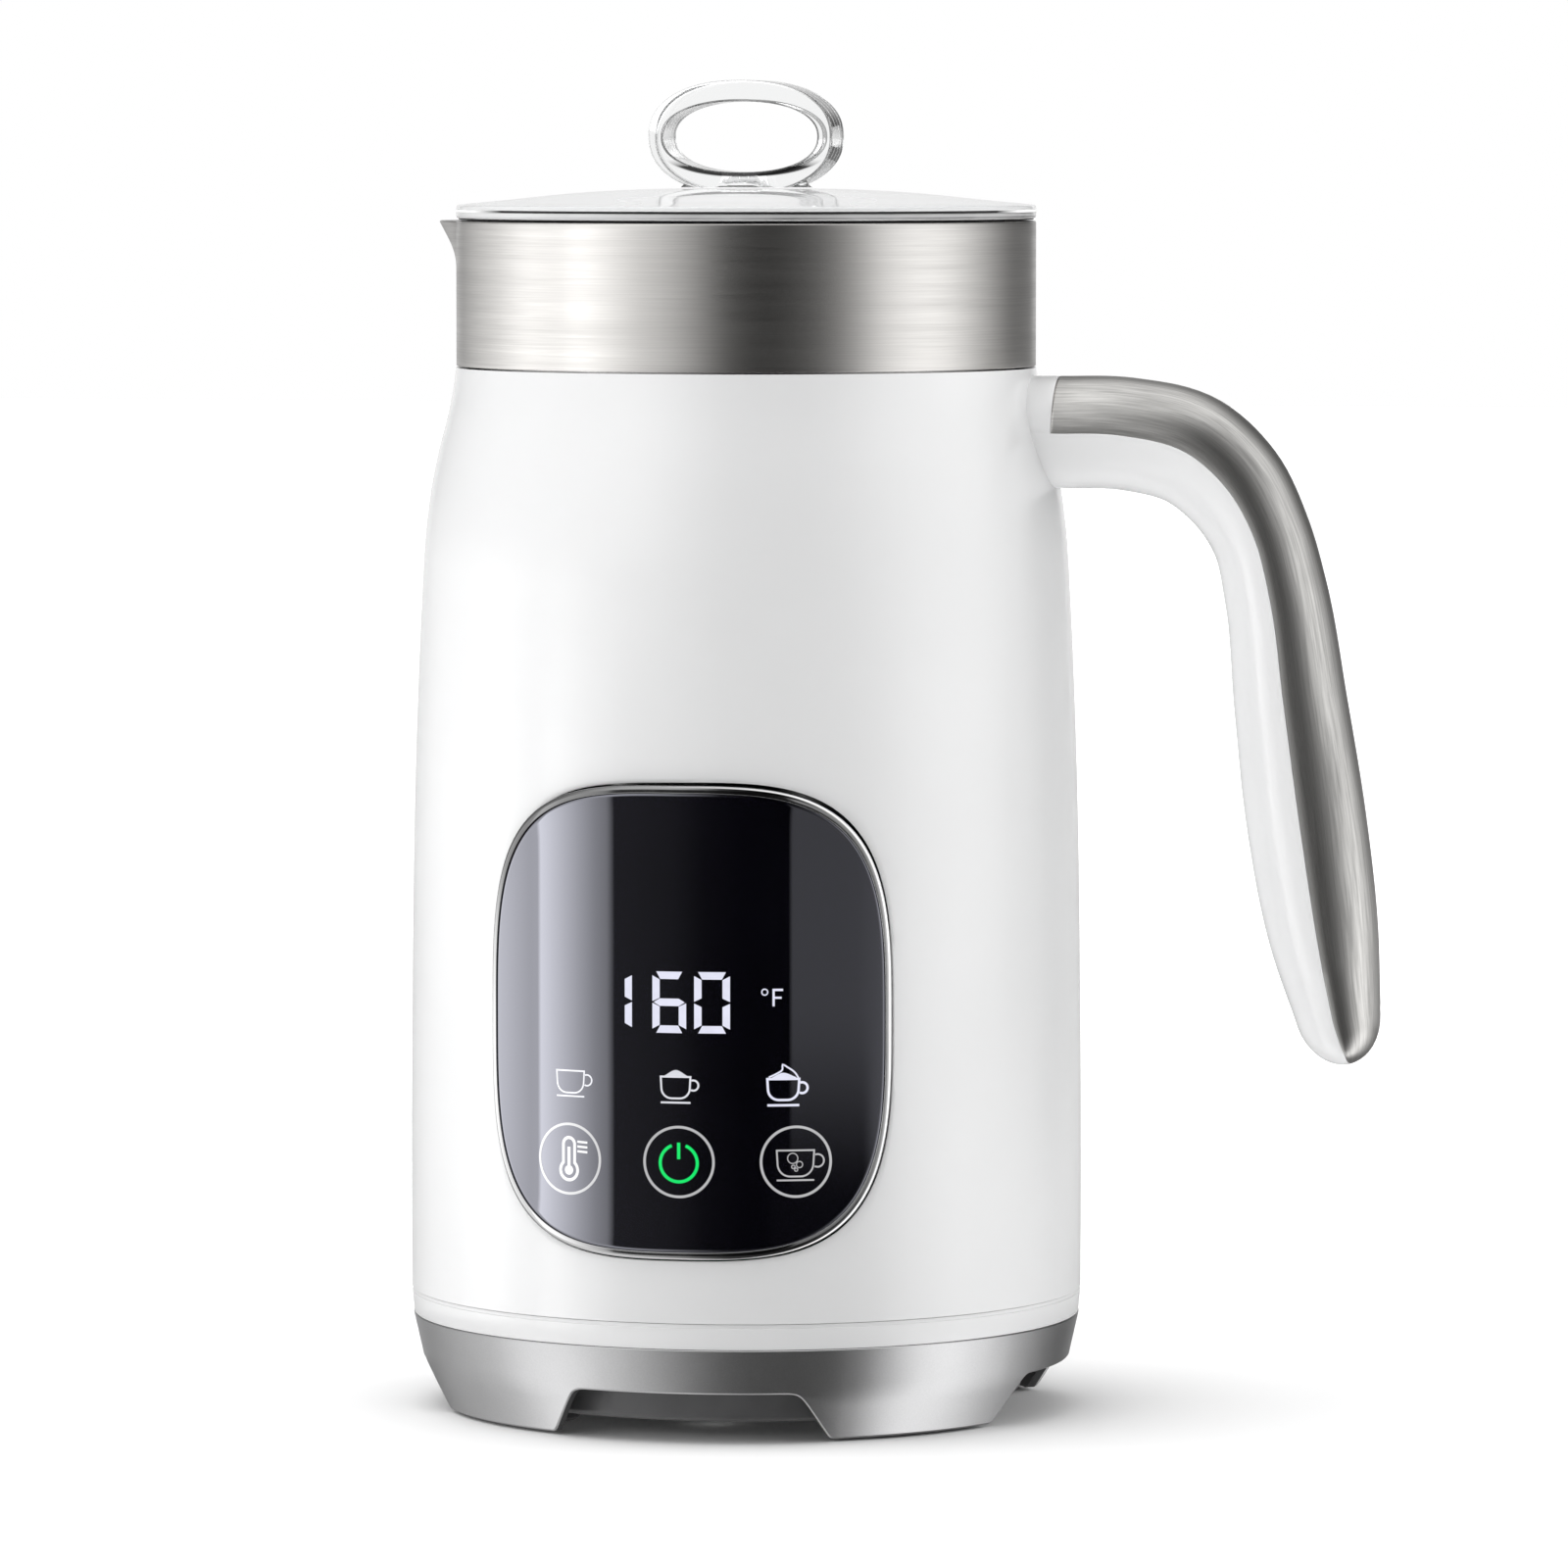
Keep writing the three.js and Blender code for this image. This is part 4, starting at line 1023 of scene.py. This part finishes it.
def knob_plastic():
    """Clear plastic with painted reflection in its colour: dark lines along its polished corners,
    most along the hole and on the right, and a dark crescent of painted shade under the hole."""
    s = clear_plastic("knob_plastic", 1.0, 0.004, 3, 0.0, 0.02)
    x = s.math("DIVIDE", s.math("SUBTRACT", s.place("X"), AXIS.x), KNOB_OUTER[0] * MM)
    z = s.math("DIVIDE", s.math("SUBTRACT", s.place("Z"), KNOB_Z * MM), KNOB_OUTER[1] * MM)
    depth = s.math("ABSOLUTE", s.math("SUBTRACT", s.place("Y"), AXIS.y))
    face, corner = KNOB_HALF_DEPTH * MM, KNOB_CORNER * MM
    near_face = s.between(depth, 0, 1, face - 1.1 * corner, face - 0.9 * corner)
    off_face = s.between(depth, 1, 0, face - 0.006 * MM, face - 0.001 * MM)
    reach = s.math("SQRT", s.math("ADD", s.math("MULTIPLY", x, x), s.math("MULTIPLY", z, z)))
    by_hole = s.between(reach, 1, 0.3, 0.86, 0.93)
    # Painted reflection: dark lines near the face's corners, along the hole and on the right.
    painted_edge_lines = s.math("MAXIMUM", by_hole, s.between(x, 0, 0.9, 0.3, 0.8))
    painted_edge_lines = s.math("MULTIPLY", painted_edge_lines, s.math("MULTIPLY", near_face, off_face))
    painted_edge_lines = s.math("MULTIPLY", painted_edge_lines, s.between(s.noise(0.006), 0.75, 1))
    parts = []
    for across, inner, outer in zip((x, z), KNOB_INNER, KNOB_OUTER):
        share = s.math("DIVIDE", s.math("ABSOLUTE", across), inner / outer)
        parts.append(s.math("POWER", share, KNOB_POWER))
    off_hole = s.math("POWER", s.math("ADD", *parts), 1 / KNOB_POWER)
    # Painted shade: a dark crescent on the face under the hole.
    under = s.between(z, 1, 0, -0.52, -0.4)
    painted_crescent = s.math("MULTIPLY", s.between(off_hole, 1, 0, 1.11, 1.15), under)
    painted_shade = s.math("MAXIMUM", painted_edge_lines, s.math("MULTIPLY", painted_crescent, near_face))
    s.set("Base Color", s.mix(painted_shade, (0.94, 0.945, 0.945, 1), (0.002, 0.002, 0.002, 1)))
    return s.material


def knob_loop(count=288):
    """The standing loop between two squarish ellipses, with a rounded square section."""
    deep, corner = KNOB_HALF_DEPTH, KNOB_CORNER
    rings = []
    for k in range(count):
        a = TURN * k / count
        outer, inner = (Vector(superellipse(a, *e, KNOB_POWER)) for e in (KNOB_OUTER, KNOB_INNER))
        half = (outer - inner).length / 2
        square = ((half, -deep), (half, deep), (-half, deep), (-half, -deep))
        ring = []
        for across, y in rounded([(*point, corner) for point in square], 6):
            x, z = outer.lerp(inner, (1 - across / half) / 2)
            ring.append((x, y, KNOB_Z + z))
        rings.append(ring)
    return skin(rings, path_closed=True)


def knob_foot():
    """The flared oval neck between the loop and the lid."""
    ovals = [
        (12.2, 6.6, -1), (12.2, 6.6, 0), (11.9, 6.4, 0.15), (11.5, 6.2, 0.5), (11.2, 6.0, 1),
        (11.2, 6.0, 1.5),
    ]
    ticks = np.linspace(0, TURN, 73)[:-1]
    return skin([
        [(half_x * math.cos(a), half_y * math.sin(a), KNOB_SEAT + above) for a in ticks]
        for half_x, half_y, above in ovals
    ])


def boolean(target, tool, operation):
    """Applies one boolean and removes its tool."""
    cutter = target.modifiers.new("cut", "BOOLEAN")
    cutter.operation = operation
    cutter.solver = "EXACT"
    cutter.object = tool
    bpy.context.view_layer.update()
    solved = target.evaluated_get(bpy.context.evaluated_depsgraph_get())
    mesh = bpy.data.meshes.new_from_object(solved)
    target.modifiers.clear()
    target.data = mesh
    bpy.data.objects.remove(tool)


def knob():
    """The loop and its foot as one body, cut off flat where it meets the lid."""
    clear = (knob_plastic(), "clear_plastic")
    loop = piece("knob", *knob_loop(), clear, "lid", ["lid_knob"], 60)
    foot = piece("knob_foot", *knob_foot(), clear, "lid", [], 60)
    boolean(loop, foot, "UNION")
    square = ((-30, -30), (30, -30), (30, 30), (-30, 30))
    block = [(x, y, z) for z in (KNOB_SEAT - 9, KNOB_SEAT) for x, y in square]
    sides = [(0, 3, 2, 1), (4, 5, 6, 7), (0, 1, 5, 4), (1, 2, 6, 5), (2, 3, 7, 6), (3, 0, 4, 7)]
    boolean(loop, piece("knob_cut", block, sides, None, clear, "lid", []), "DIFFERENCE")
    loop.data.shade_smooth()
    loop.data.set_sharp_from_angle(angle=math.radians(50))
    loop.modifiers.new("flat faces", "WEIGHTED_NORMAL").keep_sharp = True


def lid():
    knob()
    edge, seam = (51.1, 217.68), LID_SEAM + LID_JOINT
    top = sample([(0, LID_TOP), (18, LID_TOP - 0.05), (31, 219.65), (44, 218.35), edge], 40)
    under = rounded([
        edge, (LID_R - 0.1, 217.56, 0.5), (LID_R, seam, 0.08), (51.2, seam),
        (51.2, LID_SEAM + 0.05), (43, LID_SEAM + 0.05, 2), (18, LID_TOP - 2.6, 6),
        (0, LID_TOP - 2.6),
    ], 5, closed=False)
    outline = [tuple(p) for p in top] + under[1:]
    piece("lid_dome", *revolved(outline, 256), MILKY, "lid", ["lid_plate"], 40)
    rim = [
        (42.8, 209.6, 0.4), (44.6, 209.6, 0.4), (44.6, LID_LOW, 0.2), (LID_R - 0.1, LID_LOW, 0.5),
        (LID_R, LID_SEAM, 0.08), (42.8, LID_SEAM, 0.3),
    ]
    turned("lid_rim", rim, (rim_plastic(), "clear_plastic"), "lid", [], 256, steps=6, sharp=50)
    low, high = heights("lid_gasket")
    gasket = [
        (45, low, 0.4), (47, low + 0.6, 0.5), (46.4, low + 1.6, 0.3), (47, low + 2.6, 0.5),
        (46.6, high - 0.2, 0.3), (51.9, high - 0.2, 0.05), (51.9, high, 0.05), (45, high),
    ]
    turned("lid_seal", gasket, RUBBER, "lid", ["lid_gasket"], 224)
    out = LID_R - 0.12
    joint = [(51.25, LID_SEAM), (out, LID_SEAM), (out, seam), (51.25, seam)]
    # The ring at the seam carries painted shadow, whitened at both ends as painted highlight.
    turned("lid_shadow_ring", joint, (painted_shadow_ring(), "rubber"), "lid", [], 256)


# ---- Whisk ----


def whisk():
    hub = [
        (0, 92.6), (2.4, 92.6), (2.4, 82.3), (17, 82.3, 0.5), (17, 86, 0.8), (13.5, 87.6, 1),
        (5.8, 88.8, 2), (4.4, 92, 3), (5, 98, 0.8), (3.6, 99, 0.6), (0, 99),
    ]
    turned("whisk_disc", hub, GREY, "whisk", ["whisk_hub"], 96)
    ring_r, coil_r, wire, turns = 19.9, 2.02, 0.48, 62
    count = turns * 14
    up = np.array((0, 0, 1.0))
    ticks = np.linspace(0, TURN, 9)[:-1]
    rings = []
    for k in range(count):
        a = TURN * k / count
        b = turns * a
        out, forward = np.array(polar(a, 1, 0)), np.array((math.cos(a), math.sin(a), 0))
        normal = out * math.cos(b) + up * math.sin(b)
        tangent = forward * ring_r + (up * math.cos(b) - out * math.sin(b)) * coil_r * turns
        tangent /= np.linalg.norm(tangent)
        side = np.cross(tangent, normal)
        middle = out * (ring_r + coil_r * math.cos(b)) + up * (85 + coil_r * math.sin(b))
        rings.append([middle + wire * (normal * math.cos(c) + side * math.sin(c)) for c in ticks])
    piece("whisk_spring", *skin(rings, path_closed=True), STEEL, "whisk", ["whisk_coil"], 60)


# ---- Nodes kept from the CAD ----


def finish_kept_nodes():
    """Finishes for the nodes whose names start so."""
    finishes = {
        BOARD: ("display_board", "control_board"),
        DARK: ("digit_module", "relay", "transformer"),
        RUBBER: ("cord_outlet",),
        BRASS: ("temperature_sensor",),
        ALUMINIUM: ("heater_plate", "motor_bracket"),
        GREY: ("thermal_fuse", "magnet_carrier"),
        STEEL: (
            "handle_screw", "motor_screw", "touch_spring", "heater_element", "motor_can",
            "motor_shaft", "drive_magnet", "whisk_magnet",
        ),
    }
    for (material, slot), starts in finishes.items():
        for name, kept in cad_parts.items():
            if name.startswith(starts):
                for k in range(len(kept.material_slots)):
                    kept.material_slots[k].material = material


# ---- Studio ----

CAMERA_AZIMUTH = 11.2
CAMERA_DISTANCE = 1702
CAMERA_HEIGHT = 232.2
CAMERA_PITCH = 4.016
AXIS_LEFT_OF_MIDDLE = 0.23  # degrees

# Light round the object as (azimuth in degrees from -Y towards +X, level).
UPPER_LIGHT = [
    (-180, 0.1), (-151, 0.13), (-121, 0.4), (-104, 0.72), (-88, 0.98), (-66, 1.22), (-50, 1.38),
    (-33, 1.45), (-17, 1.0), (-8, 0.55), (3, 0.05), (16, 0), (30, 0), (40, 0.08), (52, 0.45),
    (66, 0.95), (84, 1.25), (98, 1.2), (112, 0.75), (130, 0.2), (146, 0.03), (180, 0.05),
]
LEVEL_LIGHT = [
    (-180, 0.4), (-140, 0.6), (-105, 1.75), (-85, 3.1), (-75, 2.4), (-66.5, 1.9), (-63.2, 1.95),
    (-62.8, 3.7), (-53, 2.5), (-47, 1.8), (-41, 1.17), (-35.4, 0.78), (-34.8, 0.07), (-14, 0.045),
    (-3, 0.014), (10, 0.004), (25.8, 0.004), (26.4, 0.24), (43, 0.24), (49, 0.25), (56, 0.32),
    (70, 1.3), (88, 1.75), (110, 1.2), (140, 0.3), (180, 0.4),
]
UNDER_LIGHT = [
    (-180, 0.2), (-130, 0.5), (-111, 0.7), (-92, 0.85), (-77, 1.65), (-63, 1.75), (-51, 1.3),
    (-39, 0.95), (-28, 0.75), (-17, 0.45), (-7, 0.18), (4, 0.06), (35, 0.03), (46, 0.02),
    (57, 0.15), (68, 1.0), (80, 1.9), (93, 1.85), (108, 1.5), (125, 0.6), (150, 0.2), (180, 0.2),
]
BACK_AZIMUTH = -169
STRIP_AZIMUTH = 36  # the strip of light in the panel's right side, which fades downwards


def surroundings(scene):
    """The light that falls on the object from all round, behind a white backdrop."""
    world = bpy.data.worlds.new("studio")
    world.use_nodes = True
    scene.world = world
    s = Nodes(world.node_tree)
    x, y, z = s.node("SeparateXYZ", {0: s.node("TexCoord").outputs["Generated"]}).outputs
    azimuth = s.math("ARCTAN2", x, s.math("MULTIPLY", y, -1))
    around = s.math("ADD", s.math("DIVIDE", azimuth, TURN), 0.5)
    brightest = 4.0  # the ramps hold shares of it

    def ring(stops):
        stops = [((degrees + 180) / 360, level / brightest) for degrees, level in stops]
        return s.ramp(around, stops)

    def even(level):
        return (level / brightest, level / brightest, level / brightest, 1)

    def smooth(value, low, high):
        return s.between(value, 0, 1, low, high, interpolation_type="SMOOTHSTEP")

    def off(value, middle):
        return s.math("ABSOLUTE", s.math("SUBTRACT", value, middle))

    beside = smooth(off(azimuth, math.radians(STRIP_AZIMUTH)), math.radians(20), math.radians(14))
    fading = s.math("MULTIPLY", beside, smooth(z, -0.092, -0.115))
    level = s.mix(fading, ring(LEVEL_LIGHT), even(0.01))
    above_or_below = s.mix(smooth(z, -0.36, -0.22), ring(UNDER_LIGHT), ring(UPPER_LIGHT))
    sides = s.mix(smooth(off(z, -0.095), 0.05, 0.16), level, above_or_below)
    back_x, back_y, _ = polar(math.radians(BACK_AZIMUTH), 1, 0)
    backwards = s.math("ADD", s.math("MULTIPLY", x, back_x), s.math("MULTIPLY", y, back_y))
    behind = s.math("MULTIPLY", smooth(backwards, 0.92, 0.96), smooth(off(z, 0.12), 0.2, 0.14))
    sides = s.mix(behind, sides, even(0.8))
    everywhere = s.mix(smooth(z, 0.65, 0.95), sides, even(1.15))
    light = s.node("Background", {"Color": everywhere, "Strength": brightest})
    white = s.node("Background", {"Color": (1, 1, 1, 1)})
    path = s.node("LightPath").outputs
    forward = s.math("MAXIMUM", smooth(backwards, 0.6, 0.88), 0.35)
    through = s.math("MULTIPLY", path["Is Transmission Ray"], forward)
    seen = s.math("MAXIMUM", path["Is Camera Ray"], through)
    shown = s.node("MixShader", {0: seen, 1: light.outputs[0], 2: white.outputs[0]})
    s.feed(s.tree.nodes["World Output"].inputs["Surface"], shown.outputs[0])


def studio():
    scene = bpy.context.scene
    scene.view_settings.view_transform = "Standard"
    surroundings(scene)

    def placed(name, data, place=(0, 0, 0)):
        made = bpy.data.objects.new(name, data)
        made.location = place
        scene.collection.objects.link(made)
        return made

    def lamp(name, size, watts, place, shadow):
        """A round soft light that faces the object and isn't mirrored in it."""
        light = bpy.data.lights.new(name, "AREA")
        light.shape = "DISK"
        light.size = size
        light.energy = watts
        light.cycles.cast_shadow = shadow
        made = placed(name, light, AXIS + Vector(place))
        middle = Vector((0, 0, 0.12))
        made.rotation_euler = (Vector(place) - middle).to_track_quat("Z", "Y").to_euler()
        made.visible_glossy = False

    lamp("overhead", 1.6, 13.5, (-0.4, 0.0, 1.45), True)
    lamp("right", 1.0, 8.5, (1.2, 0.65, 0.5), False)

    half = 6.0
    mesh = bpy.data.meshes.new("floor")
    square = [(-half, -half, 0), (half, -half, 0), (half, half, 0), (-half, half, 0)]
    mesh.from_pydata(square, [], [(0, 1, 2, 3)])
    s = Surface("floor", Base_Color=(0.88, 0.88, 0.88, 1), Roughness=0.9, Specular_IOR_Level=0.0)
    s.set("Emission Color", (1, 1, 1, 1))
    # Painted light on the floor: it glows more further out and not at all close under the object,
    # which stays darker.
    away = s.node("VectorMath", {0: s.coordinates()}, operation="LENGTH").outputs["Value"]
    far = s.between(away, 0.03, 0.7, 0.16, 1.2)
    s.set("Emission Strength", s.math("MULTIPLY", far, s.between(away, 0, 1, 0.05, 0.075)))
    mesh.materials.append(s.material)
    floor = placed("floor", mesh)
    floor.visible_glossy = False

    a = math.radians(CAMERA_AZIMUTH)
    place = AXIS + Vector(polar(a, CAMERA_DISTANCE, CAMERA_HEIGHT)) * MM
    camera = placed("camera", bpy.data.cameras.new("camera"), place)
    camera.data.sensor_width = 36
    camera.data.lens = 216
    camera.data.clip_end = 60
    turn = math.radians(CAMERA_AZIMUTH - AXIS_LEFT_OF_MIDDLE)
    camera.rotation_euler = (math.radians(90 - CAMERA_PITCH), 0, turn)
    scene.camera = camera


power_base()
jug_body()
control_panel()
display()
handle()
lid()
whisk()
finish_kept_nodes()
studio()
